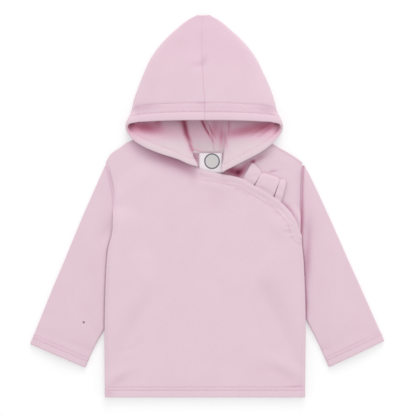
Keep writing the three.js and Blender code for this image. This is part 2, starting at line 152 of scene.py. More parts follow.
LEFT_SLEEVE = table(
    SLEEVE_COLUMNS,
    (0, 137.5, 61, 134.8, -41, 1), (0.05, 145.8, 45.5, 134.9, -43.8, 0.84),
    (0.12, 156.3, 23.6, 134, -50.5, 0.74), (0.2, 167.2, -0.8, 130.8, -61, 0.65),
    (0.3, 178, -25, 120.5, -78, 0.58), (0.41, 188.3, -48, 114.5, -99, 0.61),
    (0.52, 199, -72.5, 121, -119, 0.73), (0.68, 215.9, -110, 139, -153, 0.93),
    (0.84, 234.6, -152, 155, -185, 1), (1, 250.6, -188.5, 173.6, -225.4, 1),
)
HOOD_SECTIONS = table(
    "y middle half crown fold",
    (98, -1, 110, 29, 4.6), (112, -1.2, 109.6, 28.2, 4.4), (120.5, -0.8, 106.4, 27.5, 4.3),
    (131.6, -1.2, 102.2, 26.5, 4),
    (148.4, -1.3, 98, 25, 3.7), (165, -1.3, 92.2, 23.5, 3.4), (182, -1.8, 85, 21.5, 3.1),
    (198.8, -2.2, 77.6, 19, 2.8), (215.6, -2.2, 67.4, 16, 2.5), (232.4, -2.6, 53.2, 12.5, 2.2),
    (249.2, -2.6, 34.8, 8.5, 1.8), (257.6, -2.6, 24.7, 6.2, 1.6), (263, -2.4, 15.7, 5, 1.5),
    (266.6, -2.8, 8.2, 4.2, 1.4),
)
CROWN_SEAM = table("y x", (100, 0), (145, -0.6), (182, -3), (245, -4.6), (267, -2))
BRIM_MIDDLE_Y = 119.0
HOOD_FORM_Y = 165.0
HOOD_TOP_Y = 266.6
HOOD_LEVELS = np.array([HOOD_TOP_Y, 264.5, 261, 256, 249, 238, 224, 206, 186, HOOD_FORM_Y])
HOOD_END_SHARES = np.array([0.16, 0.32, 0.48, 0.64, 0.8, 0.91, 1])
CROWN_ACROSS = (0.93, 0.78, 0.62, 0.46, 0.3, 0.15, 0.0)
RIGHT_HOOD_ENDS = table(
    "across x y z",
    (0, 13.6, 75.6, 1), (0.09, 3, 75.6, 1), (0.19, -8, 75.6, 1), (0.28, -17, 75.8, 3.5),
    (0.33, -14.5, 61, 8.6), (0.37, -10.5, 55.5, 12.4), (0.42, -20, 57.5, 13.6),
    (0.53, -38, 65.2, 14.2), (0.65, -60, 72.2, 14), (0.8, -83, 81.4, 12.6), (0.92, -98, 90.4, 11),
)
LEFT_HOOD_ENDS = table(
    "across x y z",
    (0, 14, 75.6, 1), (0.08, 18, 75.6, 1), (0.17, 22, 75.6, 1), (0.26, 26.2, 75.8, 3.5),
    (0.31, 25.6, 58, 8.6), (0.35, 23.5, 47.4, 10.6), (0.41, 31, 50.8, 12.4),
    (0.53, 45.5, 58, 13.8), (0.65, 63, 67, 14), (0.8, 79, 75.6, 13), (0.92, 93, 86.2, 11.4),
)
CORNER_TURN = table(
    "angle outwards y z", (-60, -5.5, 96, 10), (0, -0.5, 104.5, 11), (60, -1.5, 111.5, 14)
)
RUFFLE_PATH = table(
    "out z",
    (0, 0), (0.3, 0), (0.62, 0), (0.92, 0), (0.985, 0.18), (1, 0.5), (0.985, 0.86), (0.92, 1.1),
    (0.62, 1.45), (0.3, 1.2), (0.12, 0.72), (0, 0.3),
)
LABEL_BOX = (-8.0, 46.5, 23.5, 74.0)

# Folds as soft ridges (or, with a rise below nothing, furrows): where the middle is, how long and
# wide, how far it is turned, how much its line bows, and how high it stands.
FOLD_COLUMNS = "x y long wide turn bow rise"
WRAP_FOLDS = table(
    FOLD_COLUMNS,
    (-116, -236, 26, 9, 24, 0, 1.6), (6, 30, 34, 8, -8, 0, 1.1), (-131, -130, 80, 6, 89, 0, 1.0),
    (118, -226, 24, 8, 150, 0, 1.2), (96, -24, 28, 8, 128, 0, 0.9), (-92, 24, 40, 11, 70, 0, 1.1),
)
BACK_CREASES = table(
    FOLD_COLUMNS,
    (-96, -214, 44, 9, 38, 3, -0.8), (88, -232, 36, 8, -31, -2, -0.7), (20, 40, 60, 10, 8, 4, -0.6),
    (-60, -60, 70, 14, 62, 8, -0.7), (104, -90, 58, 10, 101, -4, -0.8), (-12, -160, 34, 9, 15, 0, 0.4),
)
WRAP_CREASES = table(
    FOLD_COLUMNS,
    (-112, -239, 17, 6, 41, 2, -0.9), (-103, -200, 17, 4.5, 22, 2, -0.6), (-84, -184, 14, 4, 52, 0, -0.35),
    (110, -236, 25, 6, -30, -2, -0.8), (74, -226, 26, 9, -8, 0, -0.4), (29, -240, 11, 3.5, 52, 0, -0.3),
    (4, 38, 26, 4.5, -8, -1, -0.5), (1, 27, 20, 7, -66, 3, -0.4), (-107, 26, 24, 7, 78, 3, -0.5),
    (-90, -16, 17, 8, 60, 0, -0.4), (92, -122, 36, 17, 70, 0, -0.5), (-128, -30, 26, 5, 84, 0, 0.4),
)
UNDER_CREASES = table(
    FOLD_COLUMNS,
    (95, 48.5, 6.5, 1.8, 13, 0, -0.7), (108, 62, 16, 6, -30, 0, 0.4), (-60, -120, 60, 14, 52, 5, -0.6),
    (70, -190, 46, 12, 24, 3, -0.6),
)
RIGHT_SLEEVE_CREASES = table(
    FOLD_COLUMNS,
    (158, -170, 22, 5, 66, 2, -0.6), (186, -128, 34, 8, -64, -3, -0.5), (226, -178, 20, 6, 22, 0, -0.5),
    (139, -118, 30, 8, 80, 0, 0.4), (196, -190, 26, 5, 20, 1, -0.35), (165, -52, 40, 12, -66, 4, -0.4),
)
LEFT_SLEEVE_CREASES = table(
    FOLD_COLUMNS,
    (166, -198, 14, 5, 30, 0, -0.7), (206, -128, 32, 9, -62, 3, -0.4), (176, -96, 26, 8, -78, -2, -0.4),
    (232, -180, 18, 6, -20, 0, -0.4), (150, -40, 34, 10, -70, 4, -0.3), (196, -166, 24, 6, 64, 0, 0.3),
)
SLEEVE_UNDER_CREASES = table(
    FOLD_COLUMNS, (150, -60, 50, 12, -66, 4, -0.5), (200, -150, 30, 8, 20, 2, -0.5),
)
HOOD_CREASES = table(
    FOLD_COLUMNS,
    (-2, 200, 12, 6, 60, 0, -1.1), (-10, 196, 9, 4, 6, 0, -0.7), (-33, 226, 14, 11, 30, 0, -0.5),
    (-76, 166, 22, 12, 66, 0, -0.6), (26, 152, 9, 3, 66, 0, -0.4), (78, 172, 26, 12, -62, 4, -0.5),
    (-80, 136, 18, 6, 8, 0, -0.9), (86, 134, 14, 6, -6, 0, -0.8), (36, 232, 30, 10, -48, 3, 0.5),
)
FLAP_CREASES = table(
    FOLD_COLUMNS,
    (-67, 87, 24, 2.4, -22, -1, -0.45), (-58, 93, 20, 2.6, -20, 1, 0.35), (-48, 76, 14, 2.6, -24, 0, -0.35),
    (60, 80, 16, 2.4, 30, 0, -0.4), (52, 72, 14, 2.4, 34, 0, 0.35), (-32, 98, 13, 5, -68, 0, 0.8),
    (34, 92, 12, 5, 74, 0, 0.7), (-96, 104, 14, 4, -24, 0, 0.5), (98, 103, 13, 4, 28, 0, 0.5),
)

# What the cloth's colour is multiplied by for each amount of painted shade, outside and inside the hood.
# Inside, the painted shade is redder, and where there is none the colour is a little greener: painted light
# that offsets the pink light bounced round the hood.
OUTSIDE_SHADE_TINTS = table(
    "depth r g b",
    (0, 1, 1, 1), (0.1, 0.91, 0.83, 0.87), (0.25, 0.75, 0.56, 0.64), (0.5, 0.58, 0.27, 0.36),
    (0.75, 0.38, 0.11, 0.18), (1, 0.18, 0.02, 0.06),
)
INSIDE_SHADE_TINTS = table(
    "depth r g b",
    (0, 1, 1.05, 1.01), (0.1, 1.03, 0.87, 0.93), (0.25, 0.88, 0.55, 0.66), (0.5, 0.66, 0.26, 0.36),
    (0.75, 0.42, 0.11, 0.18), (1, 0.18, 0.02, 0.06),
)

# Painted shade: places in cast shadow, in creases and seams, in the slits and under the brim and the flaps,
# where the cloth's colour is darkened, in the same columns, the rise being how dark.
INSIDE_PAINTED_SHADE = table(
    FOLD_COLUMNS,
    (-84, 110, 21, 7, -8, 0, 0.44), (-66, 117, 5, 6, 0, 0, 0.2), (-103, 113, 8, 6, -40, 0, 0.16),
    (-28.4, 110.5, 14, 3.4, -80, 0, 0.66), (-23.4, 95, 8, 2.6, -62, 0, 0.3), (-34, 118, 6, 3, 0, 0, 0.14),
    (-2.6, 116, 8, 1.7, -66, 0, 0.66), (3.4, 104, 9, 1.6, -58, 0, 0.42), (9.6, 93, 7, 1.3, -60, 0, 0.26),
    (4.6, 113, 9, 1.2, -62, 0, 0.26), (9.6, 103, 8, 1.2, -60, 0, 0.2), (14, 108, 13, 7, 88, 0, 0.16),
    (23, 96, 15, 2.6, 86, 0, 0.2), (33.4, 112, 10, 1.8, 88, 0, 0.16),
    (30, 88, 10, 2.2, 98, 0, 0.16), (60, 106, 28, 6.5, 12, 0, 0.3), (88, 112, 16, 7, 10, 0, 0.26),
    (84, 103.5, 15, 1.2, 36, 0, 0.14), (75, 105, 13, 1.2, 32, 0, 0.14), (99, 104, 7, 2.4, 50, 0, 0.14),
    (-20, 82, 7, 2.4, -62, 0, 0.28), (-14, 76.5, 8, 2.2, 0, 0, 0.2),
)
WRAP_PAINTED_SHADE = table(
    FOLD_COLUMNS,
    (-120, -243, 18, 6, 41, 0, 0.035), (110, -238, 24, 7, -30, 0, 0.03), (74, -230, 20, 8, 0, 0, 0.02),
    (126, -251.5, 12, 1.0, 4, 0, 0.14), (-134, -262, 7, 4, 0, 0, 0.07), (92, -118, 26, 22, 70, 0, 0.018),
    (29, 33.5, 9, 1.6, -14, 0, 0.06), (46, 23.5, 4, 1.3, 0, 0, 0.08), (56, 18, 5, 1.4, -38, 0, 0.06),
    (99, -8.5, 3.4, 2.6, 0, 0, 0.06), (114, -34, 5.5, 1.5, -8, 0, 0.07), (15, 12, 16, 18, 0, 0, 0.018),
)
UNDER_PAINTED_SHADE = table(
    FOLD_COLUMNS,
    (35, 49, 16, 6, -6, 0, 0.8), (47, 46, 7, 5, 60, 0, 0.5), (56, 55, 10, 4.5, 46, 0, 0.36),
    (67, 62, 3.2, 2.4, 30, 0, 0.62), (76, 67, 11, 3.6, 28, 0, 0.24), (95, 48.5, 6.5, 1.5, 13, 0, 0.2),
    (117, -4, 21, 3.4, -50, -2, 0.2), (101, 11.5, 5, 3.4, -38, 0, 0.16),
)
BACK_PAINTED_SHADE = table(FOLD_COLUMNS, (-16, 66, 7, 8, 90, 0, 0.35), (8, 74, 16, 2.2, 0, 0, 0.35))
RIGHT_SLEEVE_PAINTED_SHADE = table(FOLD_COLUMNS, (167, -196, 26, 3.5, 22, 0, 0.02), (236, -190, 10, 3, 60, 0, 0.03))
LEFT_SLEEVE_PAINTED_SHADE = table(
    FOLD_COLUMNS,
    (143, -74, 46, 5.5, 87, 0, 0.2), (140.5, -140, 22, 3.6, 90, 0, 0.22), (136, -20, 26, 3.5, 88, 0, 0.2),
    (168, -199, 9, 4, 20, 0, 0.05),
)
HOOD_PAINTED_SHADE = table(
    FOLD_COLUMNS,
    (-2, 201, 7, 4.5, 70, 0, 0.06), (-10, 196, 7, 2.6, 4, 0, 0.04), (-4, 143, 8, 1.2, 0, 0, 0.12),
    (-82, 137, 18, 5.5, 6, 0, 0.07), (-97, 136, 6, 5, 40, 0, 0.1), (88, 134, 14, 6, -8, 0, 0.07),
    (-33, 226, 10, 9, 30, 0, 0.02), (-74, 165, 18, 11, 66, 0, 0.022), (98, 136, 5, 6, -30, 0, 0.08),
)
# The outer edge of the hood's left flap, and how dark the painted shadow it casts on the chest is along it.
FLAP_LINE = np.array([(-112, 109), (-109, 98), (-104, 95), (-90, 85.4), (-75.6, 77.6), (-53, 70),
                      (-31.5, 63), (-14, 54), (-8, 48)], float)
FLAP_SHADOW = table("x amount", (-114, 0.03), (-95, 0.12), (-75, 0.2), (-52, 0.27), (-34, 0.29),
                    (-20, 0.2), (-9, 0.03), (0, 0))


# ---------- Small functions ----------
def mix(a: Array, b: Array, share: Array) -> Array:
    """The point that lies a share of the way from a to b."""
    return a + (b - a) * share


def smooth(low: float, high: float, value: Array) -> Array:
    """A soft step from 0 at low to 1 at high, which may run backwards."""
    share = np.clip((value - low) / (high - low), 0, 1)
    return share * share * (3 - 2 * share)


def bell(distance: Array, width: float) -> Array:
    """A bell curve of height 1."""
    return np.exp(-((distance / width) ** 2))


def curve_through(rows: Table, source: str, target: str) -> Curve:
    """A smooth curve through a table's rows that never overshoots them.

    Args:
        rows: the table.
        source: the column that is given.
        target: the column that is asked for.

    Returns:
        A function from the one to the other.
    """
    order = np.argsort(rows[source])
    x, y = rows[source][order], rows[target][order]
    rise = np.diff(y) / np.diff(x)
    before, after = rise[:-1], rise[1:]
    agree = before * after > 0
    inner = np.where(agree, 2 * before * after / np.where(agree, before + after, 1), 0)
    slope = np.concatenate([rise[:1], inner, rise[-1:]])

    def at(value: Array) -> Array:
        """The curve's value."""
        i = np.clip(np.searchsorted(x, value) - 1, 0, len(x) - 2)
        span = x[i + 1] - x[i]
        t = np.clip((value - x[i]) / span, 0, 1)
        bend = slope[i] * span * (1 - t) - slope[i + 1] * span * t
        return mix(y[i], y[i + 1], t * t * (3 - 2 * t)) + t * (1 - t) * bend

    return at


def ladder(length: float, step: float, start: bool = True, end: bool = True) -> Array:
    """Positions along a length, drawn close together at its borders.

    Args:
        length: how long it is.
        step: the widest space between two positions.
        start: whether the start is a border.
        end: whether the end is a border.

    Returns:
        The positions, from 0 to length.
    """
    close = CLOSE_STEPS[CLOSE_STEPS < length / 3]
    first = close if start else np.array([0.0])
    last = length - (close if end else np.array([0.0]))[::-1]
    count = max(2, int(math.ceil((last[0] - first[-1]) / step)))
    between = np.linspace(first[-1], last[0], count + 1)[1:-1]
    return np.concatenate([first, between, last])


def fold_rise(folds: Table, x: Array, y: Array) -> Array:
    """How high a table's folds raise the cloth.

    Args:
        folds: the folds.
        x: places across.
        y: places along.

    Returns:
        The rise at each place.
    """
    total = np.zeros(np.broadcast(x, y).shape)
    for fx, fy, long, wide, turn, bow, rise in zip(*(folds[n] for n in FOLD_COLUMNS.split())):
        c, s = math.cos(math.radians(turn)), math.sin(math.radians(turn))
        along = ((x - fx) * c + (y - fy) * s) / long
        across = ((y - fy) * c - (x - fx) * s - bow * along**2) / wide
        total += rise * np.exp(-(along**2) - across**2)
    return total


def waves(points: Array, lengths: tuple[float, float], count: int, seed: int) -> Array:
    """A gentle uneven swell with no direction of its own.

    Args:
        points: places, with their axes last.
        lengths: the shortest and the longest wave.
        count: how many waves are summed.
        seed: picks the waves.

    Returns:
        A height for each place, mostly between -1 and 1.
    """
    draw = np.random.default_rng(seed)
    axes = points.shape[-1]
    total = np.zeros(points.shape[:-1])
    for _ in range(count):
        heading = draw.normal(size=axes)
        heading *= 2 * math.pi / (np.linalg.norm(heading) * draw.uniform(*lengths))
        total += np.sin(points @ heading + draw.uniform(0, 2 * math.pi))
    return total / math.sqrt(count)


def near_line(points: Array, line: Array) -> tuple[Array, Array]:
    """How far places are from a line, and how far along it its nearest point is.

    Args:
        points: places, with their axes last.
        line: the line's points in order.

    Returns:
        The distances and the lengths along the line.
    """
    flat = points.reshape(-1, points.shape[-1])
    start, step = line[:-1], np.diff(line, axis=0)
    squared = np.maximum((step**2).sum(1), 1e-12)
    reached = np.concatenate([[0], np.cumsum(np.sqrt(squared))])
    distance, along = np.empty(len(flat)), np.empty(len(flat))
    for first in range(0, len(flat), PLACES_AT_ONCE):
        part = slice(first, first + PLACES_AT_ONCE)
        place = flat[part, None]
        t = np.clip(((place - start) * step).sum(2) / squared, 0, 1)
        gap = ((start + t[..., None] * step - place) ** 2).sum(2)
        best = gap.argmin(1)
        pick = np.arange(len(best))
        distance[part] = np.sqrt(gap[pick, best])
        along[part] = reached[best] + t[pick, best] * np.sqrt(squared[best])
    return distance.reshape(points.shape[:-1]), along.reshape(points.shape[:-1])


def knots_of(points: Array) -> Array:
    """Positions for a grid's rows, as far apart as the rows are on average."""
    gaps = np.linalg.norm(np.diff(points, axis=0), axis=2).mean(1)
    return np.concatenate([[0], np.cumsum(np.maximum(gaps, 1e-3))])


def between_rows(at: Array, reached: Array, rows: Array) -> Array:
    """Rows of numbers read off at positions between them."""
    return np.stack([np.interp(at, reached, column) for column in rows.T], 1)


def spline_rows(points: Array, knots: Array, at: Array) -> Array:
    """A smooth surface through a grid's rows.

    Args:
        points: the grid, rows first.
        knots: each row's position.
        at: the positions wanted.

    Returns:
        The grid's rows at those positions.
    """
    h = np.diff(knots)[:, None, None]
    rise = np.diff(points, axis=0) / h
    inner = (rise[:-1] * h[1:] + rise[1:] * h[:-1]) / (h[:-1] + h[1:])
    slope = np.concatenate([rise[:1], inner, rise[-1:]])
    i = np.clip(np.searchsorted(knots, at, side="right") - 1, 0, len(knots) - 2)
    span = (knots[i + 1] - knots[i])[:, None, None]
    t = (at - knots[i])[:, None, None] / span
    bend = (slope[i] * (1 - t) - slope[i + 1] * t) * span
    return mix(points[i], points[i + 1], t * t * (3 - 2 * t)) + t * (1 - t) * bend


# ---------- Finishes ----------
class Slot(Enum):
    """The record's material slots."""

    FLEECE = "fleece"
    LABEL = "label_satin"


def principled(name: str, colour: Colour, roughness: float) -> tuple[Material, Tree, bpy.types.Node]:
    """A new material.

    Args:
        name: the material's name.
        colour: its base colour, linear.
        roughness: its roughness.

    Returns:
        The material, its node tree and its shader node.
    """
    material = bpy.data.materials.new(name)
    material.use_nodes = True
    tree = material.node_tree
    shader = tree.nodes["Principled BSDF"]
    shader.inputs["Base Color"].default_value = (*colour, 1)
    shader.inputs["Roughness"].default_value = roughness
    return material, tree, shader


def add(tree: Tree, kind: str, inputs: dict, **settings: object) -> bpy.types.Node:
    """Adds a shader node.

    Args:
        tree: the material's nodes.
        kind: the node's type, without the word that they all begin with.
        inputs: a value, or the socket that feeds it, for each input.
        settings: the node's own settings.

    Returns:
        The node.
    """
    node = tree.nodes.new("ShaderNode" + kind)
    for name, value in settings.items():
        setattr(node, name, value)
    for name, value in inputs.items():
        if isinstance(value, Socket):
            tree.links.new(value, node.inputs[name])
        else:
            node.inputs[name].default_value = value
    return node


def noise(tree: Tree, place: Socket, scale: float, detail: float, roughness: float) -> Socket:
    """The value socket of a new noise texture."""
    inputs = {"Vector": place, "Scale": scale, "Detail": detail, "Roughness": roughness}
    return add(tree, "TexNoise", inputs).outputs["Fac"]


def distance_to(tree: Tree, place: Socket, centre: tuple[float, float, float]) -> Socket:
    """The socket that says how far a place is from a point."""
    return add(tree, "VectorMath", {0: place, 1: centre}, operation="DISTANCE").outputs["Value"]


def blend(tree: Tree, share: object, a: object, b: object, kind: str = "MIX") -> Socket:
    """The colour socket of two colours brought together by a share."""
    inputs = {"Factor": share, "A": a, "B": b}
    return add(tree, "Mix", inputs, data_type="RGBA", blend_type=kind).outputs["Result"]


@dataclass(frozen=True)
class FleeceFinish:
    """Soft brushed fleece: a short even nap, faintly clumped, with a light bloom at its edges."""

    name: str = "pink_fleece"
    pale: Colour = (0.679, 0.519, 0.584)
    deep: Colour = (0.667, 0.505, 0.571)
    bloom: float = 0.2
    nap_scale: float = 900.0
    clump_scale: float = 260.0
    mottle_scale: float = 30.0
    bump: float = 0.35
    bump_height: float = 0.0006
    speck: Optional[tuple[float, float, float]] = None
    speck_edge: tuple[float, float] = (0.0022, 0.0010)
    speck_colour: Colour = (0.12, 0.09, 0.1)

    def make(self) -> Material:
        """Makes the material.

        Returns:
            The material.
        """
        material, tree, shader = principled(self.name, self.pale, 0.95)
        shader.inputs["Specular IOR Level"].default_value = 0.15
        shader.inputs["Sheen Weight"].default_value = self.bloom
        shader.inputs["Sheen Roughness"].default_value = 0.6
        shader.inputs["Sheen Tint"].default_value = (1.0, 0.9, 0.95, 1)
        place = tree.nodes.new("ShaderNodeTexCoord").outputs["Object"]
        nap = noise(tree, place, self.nap_scale, 2.0, 0.6)
        clump = noise(tree, place, self.clump_scale, 3.0, 0.6)
        mottle = noise(tree, place, self.mottle_scale, 3.0, 0.55)

        share = add(tree, "MapRange", {"Value": mottle, "From Min": 0.3, "From Max": 0.7})
        colour = blend(tree, share.outputs["Result"], (*self.deep, 1), (*self.pale, 1))
        # Each vertex's painted shade darkens the colour here.
        tone = add(tree, "Attribute", {}, attribute_name=PAINTED_SHADE_TINT).outputs["Color"]
        colour = blend(tree, 1.0, colour, tone, "MULTIPLY")
        if self.speck:
            colour = self.add_speck(tree, place, colour)
        tree.links.new(colour, shader.inputs["Base Color"])

        height = add(tree, "Math", {0: nap, 1: 0.5, 2: clump}, operation="MULTIPLY_ADD")
        bump = add(tree, "Bump", {
            "Strength": self.bump, "Distance": self.bump_height, "Height": height.outputs[0],
        })
        tree.links.new(bump.outputs["Normal"], shader.inputs["Normal"])
        return material

    def add_speck(self, tree: Tree, place: Socket, colour: Socket) -> Socket:
        """Adds a tiny dark speck.

        Args:
            tree: the material's nodes.
            place: the object coordinates' socket.
            colour: the cloth's colour socket.

        Returns:
            The colour socket with the speck.
        """
        reach = distance_to(tree, place, self.speck)
        outer, inner = self.speck_edge
        inside = add(tree, "MapRange", {"Value": reach, "From Min": outer, "From Max": inner})
        return blend(tree, inside.outputs["Result"], colour, (*self.speck_colour, 1))


@dataclass(frozen=True)
class SatinFinish:
    """White satin with a plain round print."""

    name: str = "white_satin"
    ground: Colour = (0.80, 0.74, 0.77)
    ink: Colour = (0.16, 0.15, 0.17)
    fill: Colour = (0.56, 0.55, 0.54)
    centre: tuple[float, float] = (9.8, 62.6)
    radius: float = 10.0
    line: float = 1.1

    def make(self) -> Material:
        """Makes the material.

        Returns:
            The material.
        """
        material, tree, shader = principled(self.name, self.ground, 0.42)
        shader.inputs["Specular IOR Level"].default_value = 0.4
        place = tree.nodes.new("ShaderNodeTexCoord").outputs["Object"]
        flat = add(tree, "VectorMath", {0: place, 1: (1, 1, 0)}, operation="MULTIPLY").outputs[0]
        reach = distance_to(tree, flat, (self.centre[0] * MM, self.centre[1] * MM, 0))
        inputs = {0: reach, 1: (self.radius - 1.5 * self.line) * MM}
        disc = add(tree, "Math", inputs, operation="LESS_THAN").outputs[0]
        inputs = {0: reach, 1: self.radius * MM, 2: self.line * MM}
        ring = add(tree, "Math", inputs, operation="COMPARE").outputs[0]
        filled = blend(tree, disc, (*self.ground, 1), (*self.fill, 1))
        colour = blend(tree, ring, filled, (*self.ink, 1))
        tree.links.new(colour, shader.inputs["Base Color"])
        return material


@dataclass(frozen=True)
class ThreadFinish:
    """Sewing thread in the cloth's own colour."""

    name: str = "pink_thread"
    colour: Colour = (0.66, 0.43, 0.53)

    def make(self) -> Material:
        """Makes the material."""
        return principled(self.name, self.colour, 0.6)[0]


@dataclass(frozen=True)
class FloorFinish:
    """A plain white floor."""

    name: str = "white_floor"
    colour: Colour = (0.55, 0.55, 0.55)
    glow: float = 0.38

    def make(self) -> Material:
        """Makes the material, lit a little from within so that its shadows stay faint."""
        material, _, shader = principled(self.name, self.colour, 0.9)
        shader.inputs["Emission Color"].default_value = (1, 1, 1, 1)
        shader.inputs["Emission Strength"].default_value = self.glow
        return material


# ---------- Cloth ----------
@dataclass
class Cloth:
    """A piece of cloth as a grid of points on its middle surface.

    Columns run across and rows run along. The right side is on the side of across x along. In a
    tube the last column repeats the first.
    """

    name: str
    middle: Array
    thick: float = FLEECE
    tube: bool = False
    border: tuple[float, float, float, float] = (1.6, 1.6, 1.6, 1.6)
    # Painted shade on the right side and on the wrong side: 0 for none, up to 1 for the darkest.
    depth: Array = 0.0
    lining_painted_shade: Array = 0.0
    outer: Array = field(init=False)
    inner: Array = field(init=False)

    def lengths(self, axis: int, from_end: bool = False) -> Array:
        """How far each point is from the first or last point of its line.

        Args:
            axis: 0 to measure along the columns, 1 along the rows.
            from_end: whether to measure from the last point.

        Returns:
            The lengths.
        """
        steps = np.linalg.norm(np.diff(self.middle, axis=axis), axis=2)
        pad = [(0, 0), (0, 0)]
        pad[axis] = (1, 0)
        reached = np.pad(np.cumsum(steps, axis=axis), pad)
        return np.take(reached, [-1], axis=axis) - reached if from_end else reached

    def normals(self, points: Array) -> Array:
        """The direction square to a surface.

        Args:
            points: the surface's points.

        Returns:
            A unit direction for each point.
        """
        along = np.gradient(points, axis=0)
        if self.tube:
            ring = points[:, :-1]
            across = np.roll(ring, -1, 1) - np.roll(ring, 1, 1)
            across = np.concatenate([across, across[:, :1]], 1)
        else:
            across = np.gradient(points, axis=1)
        square = np.cross(across, along)
        return square / np.maximum(np.linalg.norm(square, axis=2, keepdims=True), 1e-9)

    def rounded(self) -> Array:
        """How the thickness falls to nothing at the borders.

        Returns:
            The share of its thickness that the cloth has at each point.
        """
        first_row, last_row, first_column, last_column = self.border
        gaps = [(self.lengths(0), first_row), (self.lengths(0, True), last_row)]
        if not self.tube:
            gaps += [(self.lengths(1), first_column), (self.lengths(1, True), last_column)]
        share = np.ones(self.middle.shape[:2])
        for gap, width in gaps:
            if width > 0:
                share *= np.sqrt(np.clip(1 - (1 - np.clip(gap / width, 0, 1)) ** 2, 0, 1))
        return share

    def dress(self, lift: Array = 0.0, relief: Array = 0.0, lining: Array = 0.0) -> None:
        """Moves the middle surface, then makes the two faces.

        Args:
            lift: how far the whole cloth is moved to its right side.
            relief: what is added to its right side, grooves below nothing.
            lining: what is added to its wrong side.
        """
        square = self.normals(self.middle)
        self.middle = self.middle + square * np.broadcast_to(lift, square.shape[:2])[..., None]
        square = self.normals(self.middle)
        share = self.rounded()
        half = self.thick / 2
        self.outer = self.middle + square * (share * np.maximum(half + relief, LEAST_HALF))[..., None]
        self.inner = self.middle - square * (share * np.maximum(half + lining, LEAST_HALF))[..., None]
        for face in (self.outer, self.inner):
            face[..., 2] = np.maximum(face[..., 2], 0)

    def make(self, material: Material) -> Piece:
        """Makes the mesh of the two faces, joined round the border.

        Args:
            material: the material of the cloth.

        Returns:
            The object.
        """
        rows, columns = self.middle.shape[:2]
        bm = bmesh.new()
        bm.loops.layers.uv.new("cloth")
        # Each vertex gets the colour that its painted shade multiplies the cloth's colour by; the wrong
        # side's painted shade fades out at the border.
        layer = bm.verts.layers.float_color.new(PAINTED_SHADE_TINT)
        lining_painted_shade = self.lining_painted_shade * self.rounded() ** 4
        sides = ((self.outer, self.depth, OUTSIDE_SHADE_TINTS, False),
                 (self.inner, lining_painted_shade, INSIDE_SHADE_TINTS, True))
        for face, depth, shade_tints, turned in sides:
            made = bmesh.ops.create_grid(
                bm, x_segments=columns - 1, y_segments=rows - 1, size=1, calc_uvs=True
            )
            painted_shades = np.broadcast_to(depth, (rows, columns)).ravel()
            colours = np.stack([np.interp(painted_shades, shade_tints["depth"], shade_tints[c]) for c in "rgb"], 1)
            for vert, place, (r, g, b) in zip(made["verts"], (face * MM).reshape(-1, 3), colours):
                vert.co = place
                vert[layer] = (r, g, b, 1)
            if turned:
                faces = {f for v in made["verts"] for f in v.link_faces}
                bmesh.ops.reverse_faces(bm, faces=list(faces))
        bmesh.ops.remove_doubles(bm, verts=bm.verts, dist=2e-7)
        bmesh.ops.recalc_face_normals(bm, faces=bm.faces)
        return finish_mesh(self.name, bm, material)

    def line_at(self, gap: Array, level: float, lining: bool = False) -> tuple[Array, Array]:
        """Where a field crosses a level, column by column, counted from the last row.

        Args:
            gap: a value for each point of the grid.
            level: the value looked for.
            lining: whether the line lies on the wrong side.

        Returns:
            The points on the cloth's face, and the directions square to it.
        """
        face = self.inner if lining else self.outer
        square = self.normals(face) * (-1 if lining else 1)
        points, directions = [], []
        for j in range(gap.shape[1]):
            value = gap[::-1, j] - level
            crossed = np.nonzero(value[:-1] * value[1:] <= 0)[0]
            if len(crossed):
                i = crossed[0]
                share = value[i] / (value[i] - value[i + 1] + 1e-12)
                row, nxt = len(value) - 1 - i, len(value) - 2 - i
                points.append(mix(face[row, j], face[nxt, j], share))
                directions.append(mix(square[row, j], square[nxt, j], share))
        return np.array(points), np.array(directions)


def finish_mesh(name: str, bm: bmesh.types.BMesh, material: Material,
                smooth_faces: bool = True) -> Piece:
    """Turns a bmesh into an object in the scene.

    Args:
        name: the object's name.
        bm: the bmesh, which is freed.
        material: the material.
        smooth_faces: whether its faces are shaded smooth.

    Returns:
        The object.
    """
    for face in bm.faces:
        face.smooth = smooth_faces
    mesh = bpy.data.meshes.new(name)
    bm.to_mesh(mesh)
    bm.free()
    mesh.materials.append(material)
    piece = bpy.data.objects.new(name, mesh)
    bpy.context.scene.collection.objects.link(piece)
    return piece


def enrol(piece: Piece, slot: Slot, *nodes: str) -> None:
    """Makes a piece ride on the garment.

    Args:
        piece: the object.
        slot: its material slot; not used.
        nodes: the solids that it stands for.
    """
    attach(piece, "root")
    if nodes:
        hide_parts(*nodes)
    LOG.info("%s: %d faces", piece.name, len(piece.data.polygons))


def uneven(flat: Array, long: tuple[float, float], short: tuple[float, float], count: int,
           seed: int) -> Array:
    """A swell of long waves with a few short ones on it.

    Args:
        flat: the x and y of the points.
        long: the shortest and longest of the long waves.
        short: the shortest and longest of the short waves.
        count: how many long waves are summed.
        seed: picks the waves.

    Returns:
        A height for each point.
    """
    return 0.6 * waves(flat, long, count, seed) + 0.14 * waves(flat, short, 10, seed + 1)


def hem_marks(hem: Array, across: Array, seed: int, step: float, ruck: float,
              groove_shade: tuple[float, float]) -> tuple[Array, Array]:
    """A turned-up hem with its two lines of stitches.

    Args:
        hem: how far each point is from the edge.
        across: the places that the puckers follow.
        seed: picks the puckers.
        step: how high the turned-up cloth stands.
        ruck: how high the puckers stand.
        groove_shade: how dark the painted shade in the stitch grooves is, and how uneven it is.

    Returns:
        The relief and the painted shade.
    """
    pucker = waves(across, PUCKERS, 8, seed)
    relief = step * smooth(*HEM_STEP, hem) + ruck * pucker * bell(hem - 12, 3.4)
    depth = np.zeros_like(relief)
    for at in HEM_STITCHES:
        relief -= GROOVE * bell(hem - at, GROOVE_WIDTH)
        depth += groove_shade[0] * (1 + groove_shade[1] * pucker) * bell(hem - at, GROOVE_SHADE_WIDTH)
    return relief, depth


